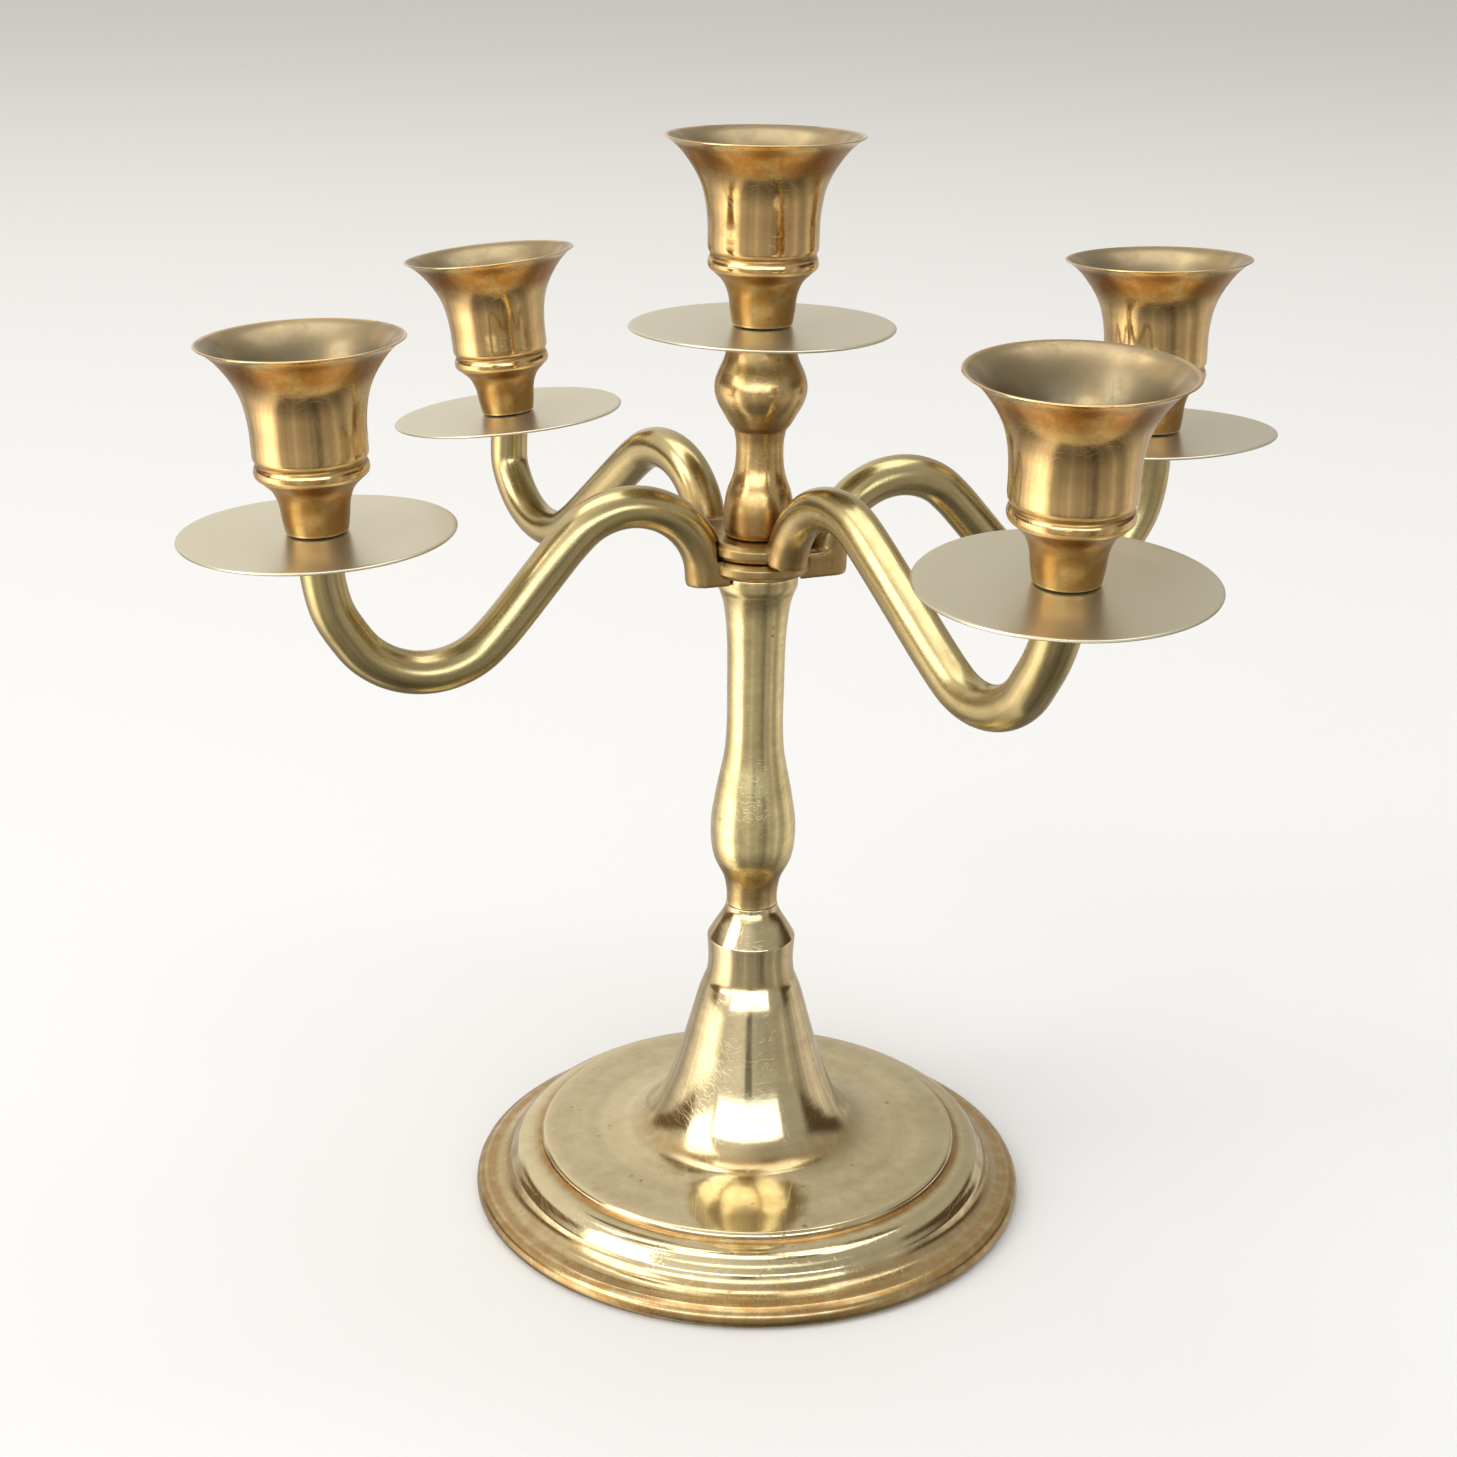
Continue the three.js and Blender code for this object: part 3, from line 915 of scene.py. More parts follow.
class CANDELABRA_OT_foot(bpy.types.Operator):
    """Spin the domed foot: rolled edge, cove, step, plate and bell-shaped neck"""

    bl_idname = "candelabra.foot"
    bl_label = "Foot"

    def execute(self, context):
        outside = outline(
            [(61.0, 0.0), (65.3, 0.0)],
            [(66.6, 0.6), (67.0, 2.0), (66.5, 3.7), (64.8, 4.8)],
            [(62.4, 5.0)],
            [(60.4, 5.7), (59.1, 7.0), (58.4, 8.8)],
            [(57.6, 9.9)],
            [(56.6, 11.4), (54.6, 12.4), (51.9, 12.7)],
            [(50.9, 13.1)],
            [(50.7, 14.2), (50.1, 14.8)],
            [
                (46.0, 15.0), (36.0, 15.3), (30.5, 15.9), (27.2, 16.8), (24.9, 18.3), (22.8, 20.9),
                (20.8, 24.8), (18.6, 30.3), (16.7, 36.2), (15.0, 42.2), (13.7, 47.0), (12.5, 51.4),
                (11.3, 54.8),
            ],
            [(10.6, 56.6), (10.2, 60.0), (10.3, 63.4), (10.5, 66.4)],
            [(9.6, 68.0), (8.4, 70.0), (7.1, 72.1), (6.3, 73.9), (6.1, NECK_Z)],
            [(ROD_BORE, NECK_Z)],
        )
        inside = outline(
            [(ROD_BORE, NECK_Z), (ROD_BORE, HOLLOW_ROOF)],
            [(19.6, HOLLOW_ROOF)],
            [
                (24.0, 13.6), (30.0, 12.3), (38.0, 11.9), (48.0, 11.2), (54.0, 8.6), (58.0, 3.8),
                (60.6, 0.3),
            ],
            step=2.5,
        )
        line = np.vstack([outside, inside[1:]])
        mesh = revolve("foot", line, inner=len(outside) - 1, sides=160, wobble=0.0006, seed=0.7)
        stain_and_shade(mesh, self.tarnish_and_shade)
        put("spun_foot", mesh, ["foot_brass", "raw_brass"], "stand", "base")
        return {"FINISHED"}

    def tarnish_and_shade(self, radii, heights):
        """Tarnish on the rolled edge, and darker amber round the root of the bell."""
        rim = np.clip((radii - 60.0) / 2.5, 0, 1) * np.clip((6.0 - heights) / 1.5, 0, 1)
        root = 0.55 * np.clip(1 - np.abs(radii - 25.5) / 3.5, 0, 1) * (heights > 14)
        return np.maximum(rim, root)


class CANDELABRA_OT_stem(bpy.types.Operator):
    """Turn the stem: neck, bulb, waist and the flared seat under the arms"""

    bl_idname = "candelabra.stem"
    bl_label = "Stem"

    def execute(self, context):
        foot = NECK_Z + 0.06
        outside = outline(
            [(ROD_BORE, foot), (6.0, foot)],
            [
                (6.0, 77.5), (6.4, 80.4), (7.0, 82.5), (8.1, 84.6), (9.1, 86.8), (9.7, 89.5), (10.0, 93.0),
                (9.9, 97.0), (9.3, 101.0), (8.6, 105.0), (7.8, 109.0), (7.0, 113.5), (6.6, 119.0),
                (6.6, 130.0), (6.75, 140.0), (7.2, 146.0), (7.8, 150.0), (8.6, 152.6),
            ],
            [(STEM_SEAT_RADIUS, 154.0), (STEM_SEAT_RADIUS, STEM_TOP)],
            [(ROD_BORE, STEM_TOP)],
        )
        inside = outline([(ROD_BORE, STEM_TOP), (ROD_BORE, foot + 2.0)], step=4.0)
        line = np.vstack([outside, inside[1:]])
        mesh = revolve("stem", line, inner=len(outside) - 1, wobble=0.003, seed=1.9)
        stain_and_shade(mesh, self.tarnish_and_shade)
        put("turned_stem", mesh, ["stem_brass", "raw_brass"], "stand", "stem")
        return {"FINISHED"}

    def tarnish_and_shade(self, radii, heights):
        """Tarnish on the neck; darker too just under the seat, below the hubs."""
        return np.interp(
            heights,
            (NECK_Z, 81, 86, 91, 146, 152, 154, STEM_TOP),
            (0.9, 1.0, 0.7, 0.1, 0.1, 0.4, 0.8, 0.5),
        )


class CANDELABRA_OT_column(bpy.types.Operator):
    """Turn the short column over the hubs, with its ball"""

    bl_idname = "candelabra.column"
    bl_label = "Column"

    def execute(self, context):
        outside = outline(
            [(0.0, ROD_ROOF), (ROD_BORE, ROD_ROOF)],
            [(ROD_BORE, COLUMN_Z)],
            [(7.4, COLUMN_Z)],
            [
                (COLUMN_FOOT_RADIUS, 167.2), (7.9, 170.0), (7.7, 173.4), (7.1, 176.2), (6.2, 178.6),
                (5.6, 181.0), (5.3, 184.5), (5.4, 187.5), (5.9, 190.0),
            ],
            [(6.9, 191.2)],
            [
                (8.3, 193.6), (9.6, 196.0), (10.3, 198.5), (10.2, 200.8), (9.4, 203.2), (8.4, 205.4),
                (7.7, 208.0), (7.4, COLUMN_TOP),
            ],
            [(STUD_BORE, COLUMN_TOP)],
            [(STUD_BORE, COLUMN_TOP - STUD_DEPTH)],
            [(0.0, COLUMN_TOP - STUD_DEPTH)],
        )
        mesh = revolve("column", ends_on_axis(outside), wobble=0.004, seed=4.2)
        stain_and_shade(mesh, self.tarnish_and_shade)
        put("turned_column", mesh, ["column_brass"], "stand", "column")
        return {"FINISHED"}

    def tarnish_and_shade(self, radii, heights):
        """Painted shade in amber on the column's foot by the hubs, under its ball and at its top under the
        drip pan, with a thinner film between.
        """
        # painted shade: darkest at the foot by the hubs, under the ball and at the top under the pan
        return np.interp(
            heights,
            (COLUMN_Z, 172, 178, 186, 191, 194, 206, COLUMN_TOP),
            (0.9, 0.8, 0.2, 0.3, 0.7, 0.1, 0.3, 0.8),
        )


def arm_line(place, root_z):
    """Points along the middle of an arm, in metres, and its sideways direction."""
    arm = ARMS[place]
    to_seat = seat(place)
    out = Vector((to_seat.translation.x, to_seat.translation.y, 0)).normalized()
    arch = (arm["arch"][0], arm["arch"][1] - arm["arch_bend"])
    bowl = (arm["bowl"][0], arm["bowl"][1] + arm["bowl_bend"])
    span = (bowl[0] - arch[0], bowl[1] - arch[1])
    cross = math.asin((arm["arch_bend"] + arm["bowl_bend"]) / math.hypot(*span))
    leave = math.degrees(math.atan2(span[1], span[0]) - cross) + 90
    stations = [(arch[0] - arm["arch_bend"], root_z)]
    stations += bend(arch, arm["arch_bend"], 165, leave, 8)
    stations += bend(bowl, arm["bowl_bend"], leave + 180, 332, 7)
    path = [out * r * MM + Vector((0, 0, z * MM)) for r, z in stations]
    axis = to_seat.col[2].to_3d()
    end = to_seat @ Vector((0, 0, (ARM_END + 0.3) * MM))
    start, heading = path[-1], (path[-1] - path[-2]).normalized()
    handle = (end - start).length / 3
    for t in (0.25, 0.5, 0.75, 1.0):
        path.append(
            start * (1 - t) ** 3 + (start + heading * handle) * 3 * t * (1 - t) ** 2
            + (end - axis * handle) * 3 * t * t * (1 - t) + end * t ** 3
        )
    path.append(end + axis * 2 * MM)
    line = spline([tuple(p) for p in path], 0.8 * MM)
    return line, np.cross((0, 0, 1), np.array(out))


def arm_radius(along, around, seed):
    """Radius of an arm in metres, a little uneven from filing and polishing."""
    return ARM_RADIUS * MM * (
        1
        + 0.010 * np.sin(along / 0.0125 + seed + around)
        + 0.008 * np.cos(2 * around + along / 0.021 - seed)
        + 0.004 * np.sin(3 * around - along / 0.007)
    )


def directions(line, side):
    """The directions ahead, up and across at each point of an arm's line."""
    ahead = np.gradient(line, axis=0)
    ahead /= np.linalg.norm(ahead, axis=1)[:, None]
    up = np.cross(side, ahead)
    up /= np.linalg.norm(up, axis=1)[:, None]
    return ahead, up, np.cross(ahead, up)


def swept(name, line, side, seed, sides=40):
    """A closed round bar along a line."""
    along = distances(line)
    _, up, across = directions(line, side)
    turn = np.arange(sides) * 2 * math.pi / sides
    radii = arm_radius(along[:, None], turn[None, :], seed)[..., None]
    rings = line[:, None] + radii * (
        across[:, None] * np.cos(turn)[None, :, None] + up[:, None] * np.sin(turn)[None, :, None]
    )
    faces = [tuple(range(sides))[::-1], tuple(range((len(line) - 1) * sides, len(line) * sides))]
    for i in range(len(line) - 1):
        for j in range(sides):
            k = (j + 1) % sides
            faces.append((i * sides + j, i * sides + k, (i + 1) * sides + k, (i + 1) * sides + j))
    return mesh_of(name, rings.reshape(-1, 3).tolist(), faces)


def lug(place, bottom, top):
    """The flat root that joins an arm to its hub, rounded at its end."""
    x, y = seat(place).translation.to_2d().normalized()
    reach = ARMS[place]["arch"][0] - ARMS[place]["arch_bend"]
    rim = [(0.0, -ARM_RADIUS)]
    rim += bend((reach, 0.0), ARM_RADIUS, -90, 90, 17)
    rim += [(0.0, ARM_RADIUS)]
    points = [
        ((a * x - b * y) * MM, (a * y + b * x) * MM, z * MM) for z in (bottom, top) for a, b in rim
    ]
    n = len(rim)
    faces = [tuple(range(n))[::-1], tuple(range(n, 2 * n))]
    faces += [(i, (i + 1) % n, n + (i + 1) % n, n + i) for i in range(n)]
    return mesh_of("lug", points, faces)


def hub(bottom):
    """The turned disc in the middle of a casting, with chamfered rims."""
    top = bottom + HUB_HEIGHT
    face = HUB_RADIUS - HUB_CHAMFER
    line = outline(
        [(0.0, bottom), (face, bottom)],
        [(HUB_RADIUS, bottom + HUB_CHAMFER)],
        [(HUB_RADIUS, top - HUB_CHAMFER)],
        [(face, top)],
        [(0.0, top)],
    )
    return revolve("hub", ends_on_axis(line))


def nearest_on(line, points):
    """Index of the nearest station on a line for each point, and the distance."""
    index, gap = [], []
    for part in np.array_split(points, len(points) // 4000 + 1):
        gaps = np.linalg.norm(part[:, None] - line[None], axis=2)
        index.append(gaps.argmin(axis=1))
        gap.append(gaps.min(axis=1))
    return np.concatenate(index), np.concatenate(gap)


def about_arm(points, line, side, index):
    """Where points are about an arm: its middle beside each, the distance out, the turn and the run."""
    ahead, up, across = directions(line, side)
    slide = ((points - line[index]) * ahead[index]).sum(axis=1)
    middle = line[index] + ahead[index] * slide[:, None]
    out = points - middle
    reach = np.linalg.norm(out, axis=1)
    turn = np.arctan2((out * up[index]).sum(axis=1), (out * across[index]).sum(axis=1))
    return middle, reach, turn, distances(line)[index] + slide


def round_up(mesh, lines):
    """Brings a fused casting back to the true round of its arms, past their roots, and marks it."""
    points = points_of(mesh)
    grain, hollow_and_shade = np.zeros_like(points), np.zeros(len(points))
    best = np.full(len(points), 1.0)
    moved = points.copy()
    for number, (line, side) in enumerate(lines):
        index, gap = nearest_on(line, points)
        mine = gap < best
        best[mine] = gap[mine]
        middle, reach, turn, run = about_arm(points, line, side, index)
        left = distances(line)[-1] - run
        away = (points - middle) / np.maximum(reach, 1e-9)[:, None]
        true = middle + away * arm_radius(run, turn, number * UNEVEN_SHIFT)[:, None]
        weight = np.clip((run / MM - ROOT_LENGTH) / ROOT_EASE, 0, 1) * (left > 0.4 * MM)
        weight = (weight * weight * (3 - 2 * weight))[:, None]
        moved[mine] = (points + (true - points) * weight)[mine]
        strand = [reach * np.cos(turn), reach * np.sin(turn), run * 0.06 + number]
        grain[mine] = np.stack(strand, axis=1)[mine]
        # the arm is marked darker near its root at the hub and near its end under the cup's seat
        near_root = np.clip(1 - (run / MM - 4) / ROOT_LENGTH, 0, 1)
        near_end = np.clip(1 - (left / MM - 2) / 6, 0, 1)
        hollow_and_shade[mine] = np.maximum(0.75 * near_root, 0.5 * near_end)[mine]
    return moved, grain, hollow_and_shade


def casting(name, places, hub_z, root_z, rooms):
    """Two opposite arms and their hub, fused. `rooms` are cut as (radius, bottom, top)."""
    making = bpy.context.scene.candelabra_making
    lines = [arm_line(place, root_z) for place in places]
    parts = [swept("arm", *arm, number * UNEVEN_SHIFT) for number, arm in enumerate(lines)]
    parts += [lug(place, root_z, hub_z + HUB_HEIGHT) for place in places]
    blank = on_bench(joined(name, parts))
    voxel = making.voxel
    work(blank, "REMESH", mode="VOXEL", voxel_size=voxel)
    work(blank, "SMOOTH", factor=0.5, iterations=8)
    moved, _, _ = round_up(blank.data, lines)
    blank.data.vertices.foreach_set("co", moved.ravel())
    carve(blank, hub(hub_z), "UNION")
    for room in rooms:
        carve(blank, bar("room", *room), "DIFFERENCE")
    for place in places:
        end = seat(place)
        carve(blank, bar("seat", ARM_RADIUS + 2, ARM_END, ARM_END + 4, end), "DIFFERENCE")
        carve(blank, bar("hole", STUD_BORE, ARM_END - STUD_DEPTH, ARM_END + 1, end), "DIFFERENCE")
    mesh = off_bench(blank)
    _, grain, hollow_and_shade = round_up(mesh, lines)
    mark(mesh, "grain", grain)
    mark(mesh, "hollow_and_shade", hollow_and_shade)
    mark(mesh, "edge", np.zeros(len(hollow_and_shade)))
    finish_mesh(mesh)
    return mesh


class CANDELABRA_OT_arms(bpy.types.Operator):
    """Cast the two crossed pairs of S-arms"""

    bl_idname = "candelabra.arms"
    bl_label = "Arms"

    def execute(self, context):
        lower_top = LOWER_HUB_Z + HUB_HEIGHT
        lower = casting("lower_arms_cast", LOWER_PAIR, LOWER_HUB_Z, LUG_Z, [
            (STEM_SEAT_RADIUS + 0.6, LUG_Z - 2, LOWER_HUB_Z),
            (HUB_RADIUS + 0.5, lower_top, COLUMN_Z),
            (ROD_BORE, LUG_Z - 2, COLUMN_Z),
            (COLUMN_FOOT_RADIUS + 0.8, lower_top, CLEAR_TOP),
        ])
        upper = casting("upper_arms_cast", UPPER_PAIR, UPPER_HUB_Z, UPPER_HUB_Z, [
            (ROD_BORE, UPPER_HUB_Z - 2, COLUMN_Z),
            (COLUMN_FOOT_RADIUS + 0.8, COLUMN_Z - 0.3, CLEAR_TOP),
        ])
        put("cast_lower_arms", lower, ["arm_brass"], "lower_arms", "lower_arms")
        put("cast_upper_arms", upper, ["arm_brass"], "upper_arms", "upper_arms")
        return {"FINISHED"}


class CANDELABRA_OT_drip_pans(bpy.types.Operator):
    """Spin the five thin drip pans, each a little out of true"""

    bl_idname = "candelabra.drip_pans"
    bl_label = "Drip Pans"

    def execute(self, context):
        for number, place in enumerate(PLACES):
            line = outline(
                [(PAN_HOLE, -0.2), (PAN_HOLE, -1.2)],
                [(21.0, -1.2)],
                [(28.6, -0.8)],
                [(29.2, -0.66), (PAN_RADIUS, -0.4), (29.2, -0.08)],
                [(28.6, -0.02)],
                [(21.0, -0.2)],
                [(PAN_HOLE, -0.2)],
                step=1.1,
            )[:-1]
            mesh = revolve("pan", line, wobble=0.003, seed=number * 1.7)
            for vertex in mesh.vertices:
                radius, around = vertex.co.xy.length, math.atan2(vertex.co.y, vertex.co.x)
                out = max(0.0, radius / (PAN_RADIUS * MM) - 0.3) ** 2
                bow = math.sin(2 * around + number * 1.3) + 0.5 * math.cos(3 * around - number * 2.1)
                vertex.co.z += 0.00035 * out * bow
            put(
                "spun_pan_" + place, mesh, ["sheet_brass"],
                "pan_" + place, "drip_pan_" + place, seat(place),
            )
        return {"FINISHED"}


class CANDELABRA_OT_cups(bpy.types.Operator):
    """Turn the five bell-shaped candle cups"""

    bl_idname = "candelabra.cups"
    bl_label = "Candle Cups"

    def execute(self, context):
        for number, place in enumerate(PLACES):
            outside = outline(
                [(0.0, STUD_ROOF), (STUD_BORE, STUD_ROOF)],
                [(STUD_BORE, CUP_FOOT)],
                [(6.6, CUP_FOOT)],
                [(7.1, 3.0), (7.6, 6.8), (8.8, 9.6), (10.9, 11.7)],
                [(11.9, 12.6), (12.1, 13.6), (11.9, 14.6)],
                [(11.6, 15.1), (11.6, 15.7)],
                [
                    (12.0, 16.4), (12.1, 19.0), (12.2, 23.0), (12.8, 27.4), (13.6, 30.2), (14.8, 32.8),
                    (16.4, 35.3), (18.3, 37.7), (20.3, 39.5), (21.4, 40.2),
                ],
                [(21.72, 40.36), (21.6, 40.56), (21.2, 40.58)],
            )
            inside = outline(
                [
                    (21.2, 40.58), (19.2, 39.6), (16.9, 37.5), (15.0, 34.9), (13.4, 31.8), (12.2, 28.4),
                    (11.3, 26.2),
                ],
                [(CANDLE_RADIUS, 25.4), (CANDLE_RADIUS, CANDLE_FLOOR)],
                [(0.0, CANDLE_FLOOR)],
                step=1.0,
            )
            line = ends_on_axis(np.vstack([outside, inside[1:]]))
            mesh = revolve("cup", line, wobble=0.005, seed=number * UNEVEN_SHIFT)
            stain_and_shade(mesh, self.tarnish_and_shade)
            stain_and_shade(mesh, self.sooty, "soot")
            put(
                "turned_cup_" + place, mesh, ["cup_brass"],
                "cup_" + place, "candle_cup_" + place, seat(place),
            )
        return {"FINISHED"}

    def tarnish_and_shade(self, radii, heights):
        """Darker amber on the stub, most just under the bell; painted shade under the rim's flare,
        standing in for the shade and brass reflections there; a little amber all over inside.
        """
        stub = np.where(heights < 12, 0.75 + 0.2 * np.clip(heights / 12, 0, 1) ** 2, 0)
        # painted shade and reflection: the underside of the flare below the rim is darkened to amber
        painted_shade_under_rim = 1.1 * np.clip((heights - 31) / 4, 0, 1) * np.clip((39.6 - heights) / 1.2, 0, 1)
        return np.where(radii > self.wall(heights), np.maximum(stub, painted_shade_under_rim), 0.3)

    def sooty(self, radii, heights):
        """Wax and soot inside the socket and the flare."""
        inside = (heights > CANDLE_FLOOR - 0.1) & (radii < self.wall(heights))
        return np.where(inside, np.clip(1.0 - (heights - 26) / 45, 0.6, 1.0), 0)

    def wall(self, heights):
        """Radius of the middle of the cup's wall at each height."""
        return np.interp(
            heights,
            (CANDLE_FLOOR - 0.1, CANDLE_FLOOR, 26.0, 30.2, 32.8, 35.3, 37.7, 39.5, 40.2),
            (0.0, 11.5, 11.6, 13.1, 14.3, 15.9, 17.7, 19.8, 21.2),
        )


class CANDELABRA_OT_fasteners(bpy.types.Operator):
    """Make the steel studs, the tie rod, its washer and its nut"""

    bl_idname = "candelabra.fasteners"
    bl_label = "Fasteners"

    def execute(self, context):
        for place in PLACES:
            mesh = threaded("stud", STUD_RADIUS, STUD_BOTTOM, STUD_TOP, STUD_PITCH)
            put(
                "threaded_stud_" + place, mesh, ["plated_steel"],
                carrier(place), "stud_" + place, seat(place),
            )
        rod = threaded("rod", ROD_RADIUS, ROD_BOTTOM, ROD_TOP, ROD_PITCH, smooth=ROD_PLAIN)
        put("threaded_rod", rod, ["plated_steel"], "stand", "tie_rod")
        put("domed_washer", self.washer(), ["plated_steel"], "stand", "base_washer")
        put("hex_nut", self.nut(), ["plated_steel"], "stand", "base_nut")
        return {"FINISHED"}

    def washer(self):
        """A punched washer, with one edge rolled over and a bore."""
        top = WASHER_Z + WASHER_THICK
        line = outline(
            [(ROD_BORE, top), (ROD_BORE, WASHER_Z)],
            [(8.7, WASHER_Z)],
            [(WASHER_RADIUS, WASHER_Z + 0.4), (WASHER_RADIUS, top - 0.6), (8.4, top)],
            [(ROD_BORE + 0.3, top)],
        )
        return revolve("washer", line, sides=72)

    def nut(self):
        """A hexagon nut with turned chamfers and a countersunk bore."""
        corners = [math.radians(60 * k) for k in range(6)]
        points = [
            (NUT_RADIUS * MM * math.cos(a), NUT_RADIUS * MM * math.sin(a), z * MM)
            for z in (NUT_BOTTOM, NUT_TOP) for a in corners
        ]
        faces = [tuple(range(6))[::-1], tuple(range(6, 12))]
        faces += [(k, (k + 1) % 6, 6 + (k + 1) % 6, 6 + k) for k in range(6)]
        blank = on_bench(mesh_of("nut", points, faces))
        turned = ends_on_axis([
            (0, NUT_BOTTOM), (5.1, NUT_BOTTOM), (NUT_RADIUS + 0.05, NUT_BOTTOM + 0.55),
            (NUT_RADIUS + 0.05, NUT_TOP - 0.55), (5.1, NUT_TOP), (0, NUT_TOP),
        ])
        sunk = ends_on_axis([
            (0, NUT_BOTTOM - 1), (4.4, NUT_BOTTOM - 1), (4.1, NUT_BOTTOM), (ROD_BORE, NUT_BOTTOM + 0.6),
            (ROD_BORE, NUT_TOP - 0.6), (4.1, NUT_TOP), (4.4, NUT_TOP + 1), (0, NUT_TOP + 1),
        ])
        carve(blank, revolve("chamfers", turned, sides=96), "INTERSECT")
        carve(blank, revolve("bore", sunk, sides=48), "DIFFERENCE")
        mesh = off_bench(blank)
        radii = np.array([vertex.co.xy.length / MM for vertex in mesh.vertices])
        mark(mesh, "hollow_and_shade", (radii < 4.2).astype(float))
        mark(mesh, "edge", (radii > 5.5).astype(float))
        finish_mesh(mesh)
        return mesh


# ---- stage ----------------------------------------------------------------

class CANDELABRA_OT_stage(bpy.types.Operator):
    """Lay the floor and set the camera, the room and the lights"""

    bl_idname = "candelabra.stage"
    bl_label = "Stage"

    def execute(self, context):
        stage = context.scene.candelabra_stage
        self.floor()
        self.camera(context, stage)
        self.room(context, stage)
        self.softbox("window", (-3.0, -1.6, 2.0), (2.0, 2.8), stage.window, (1.0, 0.98, 0.94))
        self.softbox("overhead", (0.0, 0.2, 3.0), (3.4, 2.0), stage.overhead, (0.97, 0.98, 1.0))
        self.softbox("front", (0.0, -2.4, 0.84), (4.6, 0.80), stage.front, (0.84, 0.92, 1.0))
        context.scene.view_settings.view_transform = "Standard"
        return {"FINISHED"}

    def floor(self):
        """A wide floor of seamless paper, just under the foot."""
        run = np.linspace(-6.0, 14.0, 41)
        points = [(x, y, -0.1 * MM) for x in (-10.0, 10.0) for y in run]
        n = len(run)
        faces = [(i, n + i, n + i + 1, i + 1) for i in range(n - 1)]
        mesh = mesh_of("floor", points, faces)
        mesh.materials.append(finish("floor_paper"))
        floor = bpy.data.objects.new("floor", mesh)
        bpy.context.scene.collection.objects.link(floor)
        floor.visible_glossy = False

    def camera(self, context, stage):
        """The camera, from its place and its three angles."""
        ahead = Vector((
            math.sin(stage.yaw) * math.cos(stage.pitch),
            math.cos(stage.yaw) * math.cos(stage.pitch),
            -math.sin(stage.pitch),
        ))
        level = Vector((math.cos(stage.yaw), -math.sin(stage.yaw), 0))
        above = level.cross(ahead)
        right = level * math.cos(stage.roll) + above * math.sin(stage.roll)
        up = above * math.cos(stage.roll) - level * math.sin(stage.roll)
        data = bpy.data.cameras.new("camera")
        data.lens = stage.lens
        data.sensor_width = 36.0
        camera = bpy.data.objects.new("camera", data)
        context.scene.collection.objects.link(camera)
        turn = Matrix((right, up, -ahead)).transposed().to_4x4()
        camera.matrix_world = Matrix.Translation(stage.eye) @ turn
        context.scene.camera = camera

    def room(self, context, stage):
        """A pale room with dark furniture low at both sides, and a slim dark figure in front."""
        world = bpy.data.worlds.new("room")
        context.scene.world = world
        world.use_nodes = True
        tree = world.node_tree
        tree.nodes.clear()
        place = add(tree, "ShaderNodeTexCoord").outputs["Generated"]
        x, y, z = add(tree, "ShaderNodeSeparateXYZ", {0: place}).outputs
        beside = maths(tree, "ABSOLUTE", maths(tree, "SUBTRACT", y, 0.22))
        no_furniture = maths(tree, "MAXIMUM", ramp(tree, z, 0.20, 0.42), ramp(tree, beside, 0.34, 0.52))
        walls = blend(tree, no_furniture, (0.22, 0.15, 0.09, 1.0), (1.0, 0.96, 0.90, 1.0))
        side = ramp(tree, x, -0.3, 0.35, 1.12, 0.60)
        past_waist = ramp(tree, maths(tree, "ABSOLUTE", x), 0.06, 0.13)
        behind = maths(tree, "MAXIMUM", past_waist, ramp(tree, y, -0.3, 0.0))
        no_figure = maths(tree, "MAXIMUM", behind, ramp(tree, z, 0.15, 0.25))
        above = maths(tree, "MULTIPLY", side, ramp(tree, no_figure, 0.0, 1.0, 0.2, 1.0))
        below = self.ground(tree, x, y, z)
        horizon = ramp(tree, z, -0.04, 0.04)
        tinted = blend(tree, horizon, (1.0, 0.92, 0.83, 1.0), walls)
        light = add(tree, "ShaderNodeMix", {0: horizon, 2: below, 3: above}).outputs[0]
        light = maths(tree, "MULTIPLY", light, stage.ambient)
        shine = add(tree, "ShaderNodeBackground", {"Color": tinted, "Strength": light}).outputs[0]
        add(tree, "ShaderNodeOutputWorld", {"Surface": shine})

    def ground(self, tree, x, y, z):
        """Brightness of what lies below the table's top: steep metal shows it as upright streaks."""
        turn = maths(tree, "ARCTAN2", x, maths(tree, "MULTIPLY", y, -1.0))
        around = maths(tree, "MULTIPLY_ADD", turn, 0.5 / math.pi, 0.5)
        streaks = bands(tree, around, (
            (0.00, 0.20), (0.16, 0.22), (0.24, 0.55), (0.28, 1.00), (0.33, 0.95), (0.37, 0.24),
            (0.42, 0.16), (0.46, 0.20), (0.51, 0.15), (0.56, 0.13), (0.58, 0.07), (0.60, 0.08),
            (0.62, 0.17), (0.69, 0.20), (0.73, 0.12), (0.77, 0.20), (0.80, 0.34), (0.84, 0.24),
            (0.92, 0.18), (1.00, 0.20),
        ))
        facing = {0: maths(tree, "SINE", turn), 1: maths(tree, "COSINE", turn)}
        circle = add(tree, "ShaderNodeCombineXYZ", facing).outputs[0]
        clutter = ramp(tree, noise(tree, circle, 9.0, 2.0, 0.6), 0.35, 0.65, 0.8, 1.25)
        streaks = maths(tree, "MULTIPLY", maths(tree, "MULTIPLY", streaks, 3.4), clutter)
        return maths(tree, "MULTIPLY", streaks, ramp(tree, z, -0.80, -0.40, 0.40, 1.0))

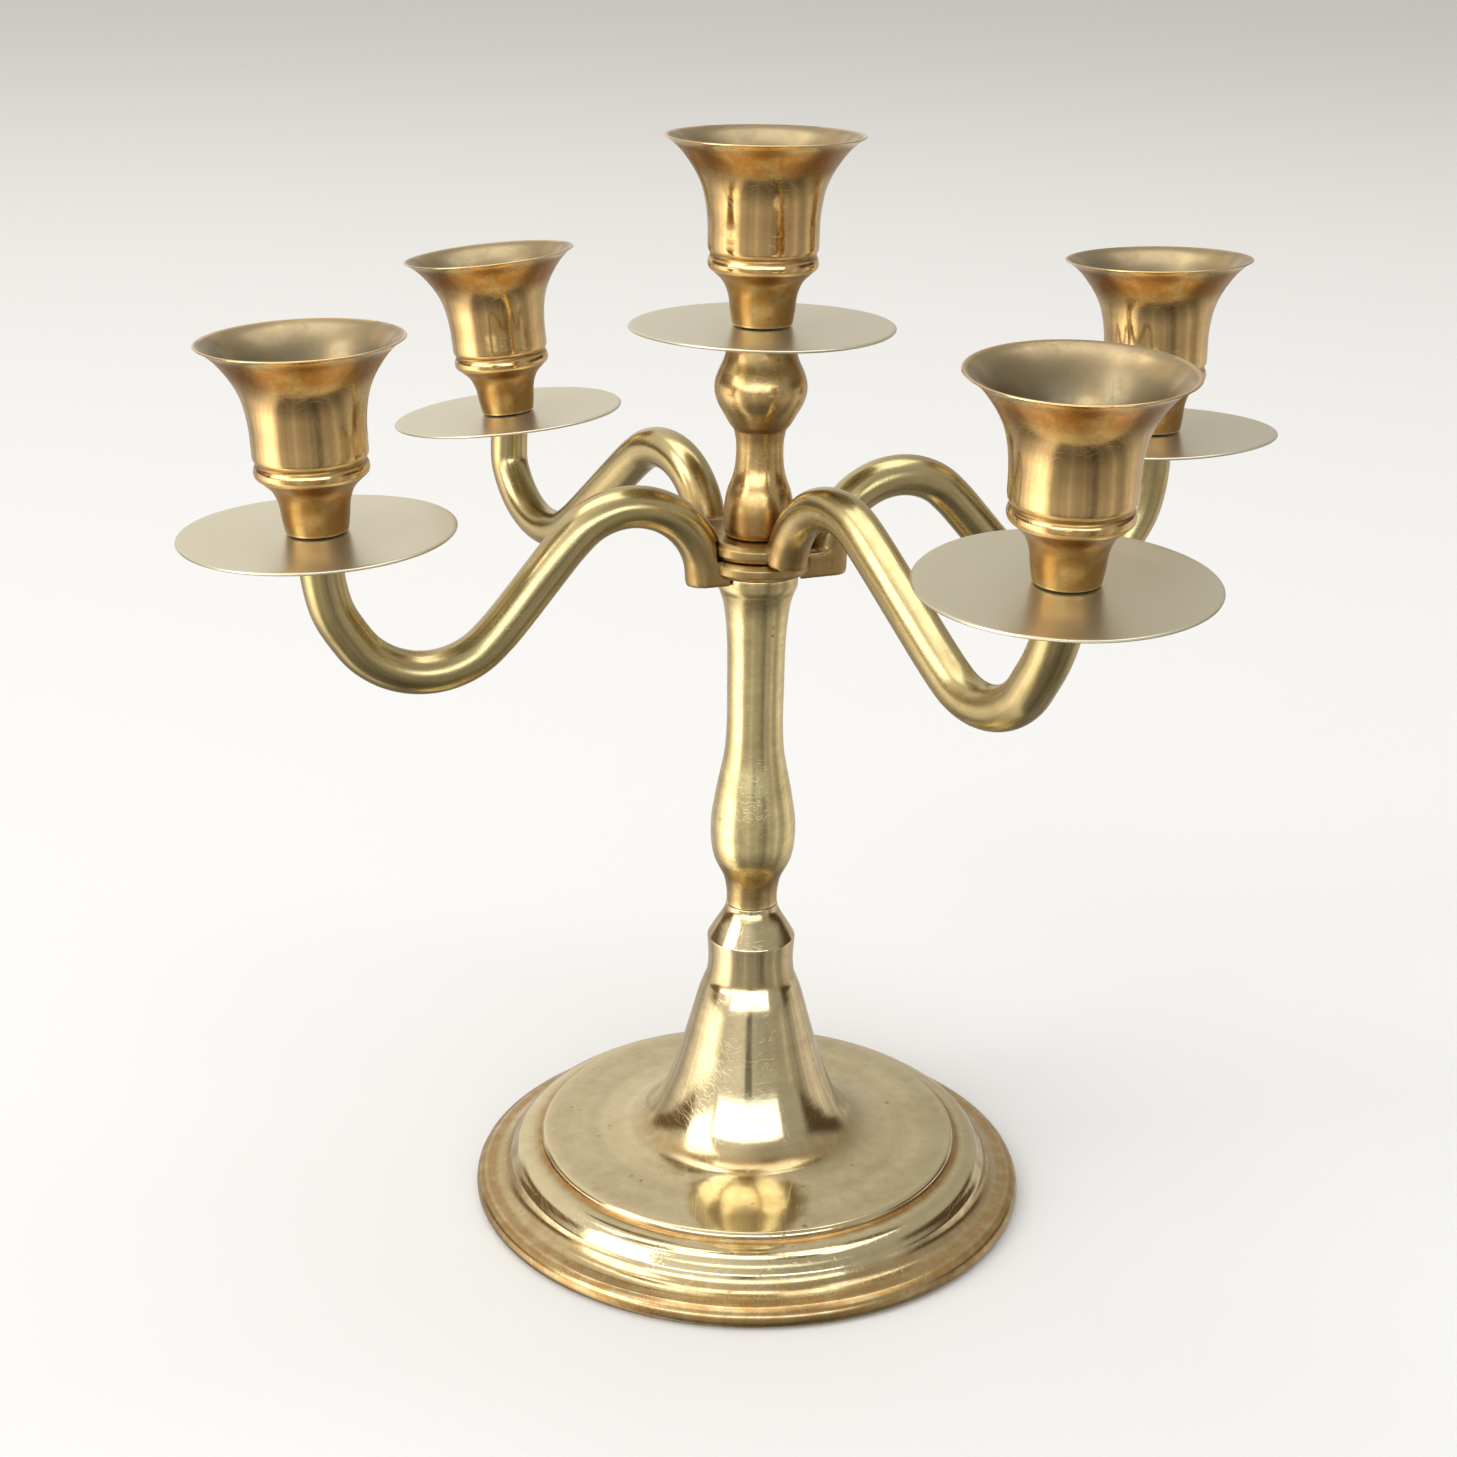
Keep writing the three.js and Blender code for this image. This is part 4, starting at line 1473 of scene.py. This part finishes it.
    def softbox(self, name, place, size, watts, colour):
        """A rectangular soft light aimed at the middle of the candelabra."""
        data = bpy.data.lights.new(name, "AREA")
        data.shape = "RECTANGLE"
        data.size, data.size_y = size
        data.energy = watts
        data.color = colour
        lamp = bpy.data.objects.new(name, data)
        bpy.context.scene.collection.objects.link(lamp)
        lamp.location = place
        aim = Vector((0, 0, 0.13)) - lamp.location
        lamp.rotation_euler = aim.to_track_quat("-Z", "Y").to_euler()


# ---- add-on ---------------------------------------------------------------

PIECES = (
    CANDELABRA_OT_foot,
    CANDELABRA_OT_stem,
    CANDELABRA_OT_arms,
    CANDELABRA_OT_column,
    CANDELABRA_OT_drip_pans,
    CANDELABRA_OT_cups,
    CANDELABRA_OT_fasteners,
    CANDELABRA_OT_stage,
)


class VIEW3D_PT_candelabra(bpy.types.Panel):
    """The candelabra's settings and pieces"""

    bl_label = "Candelabra"
    bl_space_type = "VIEW_3D"
    bl_region_type = "UI"
    bl_category = "Candelabra"

    def draw(self, context):
        for title, settings in (
            ("Brass", context.scene.candelabra_brass),
            ("Making", context.scene.candelabra_making),
            ("Stage", context.scene.candelabra_stage),
        ):
            box = self.layout.box()
            box.label(text=title)
            for name in settings.__annotations__:
                box.prop(settings, name)
        for piece in PIECES:
            self.layout.operator(piece.bl_idname)


CLASSES = (CandelabraBrass, CandelabraMaking, CandelabraStage, *PIECES, VIEW3D_PT_candelabra)


def register():
    """Adds the classes, and the settings to the scene."""
    for made in CLASSES:
        bpy.utils.register_class(made)
    bpy.types.Scene.candelabra_brass = bpy.props.PointerProperty(type=CandelabraBrass)
    bpy.types.Scene.candelabra_making = bpy.props.PointerProperty(type=CandelabraMaking)
    bpy.types.Scene.candelabra_stage = bpy.props.PointerProperty(type=CandelabraStage)


def unregister():
    """Takes the settings and the classes away again."""
    del bpy.types.Scene.candelabra_stage
    del bpy.types.Scene.candelabra_making
    del bpy.types.Scene.candelabra_brass
    for made in reversed(CLASSES):
        bpy.utils.unregister_class(made)


def main():
    """Makes every piece and the stage."""
    register()
    bpy.ops.candelabra.foot()
    bpy.ops.candelabra.stem()
    bpy.ops.candelabra.arms()
    bpy.ops.candelabra.column()
    bpy.ops.candelabra.drip_pans()
    bpy.ops.candelabra.cups()
    bpy.ops.candelabra.fasteners()
    bpy.ops.candelabra.stage()


if __name__ == "__main__":
    main()
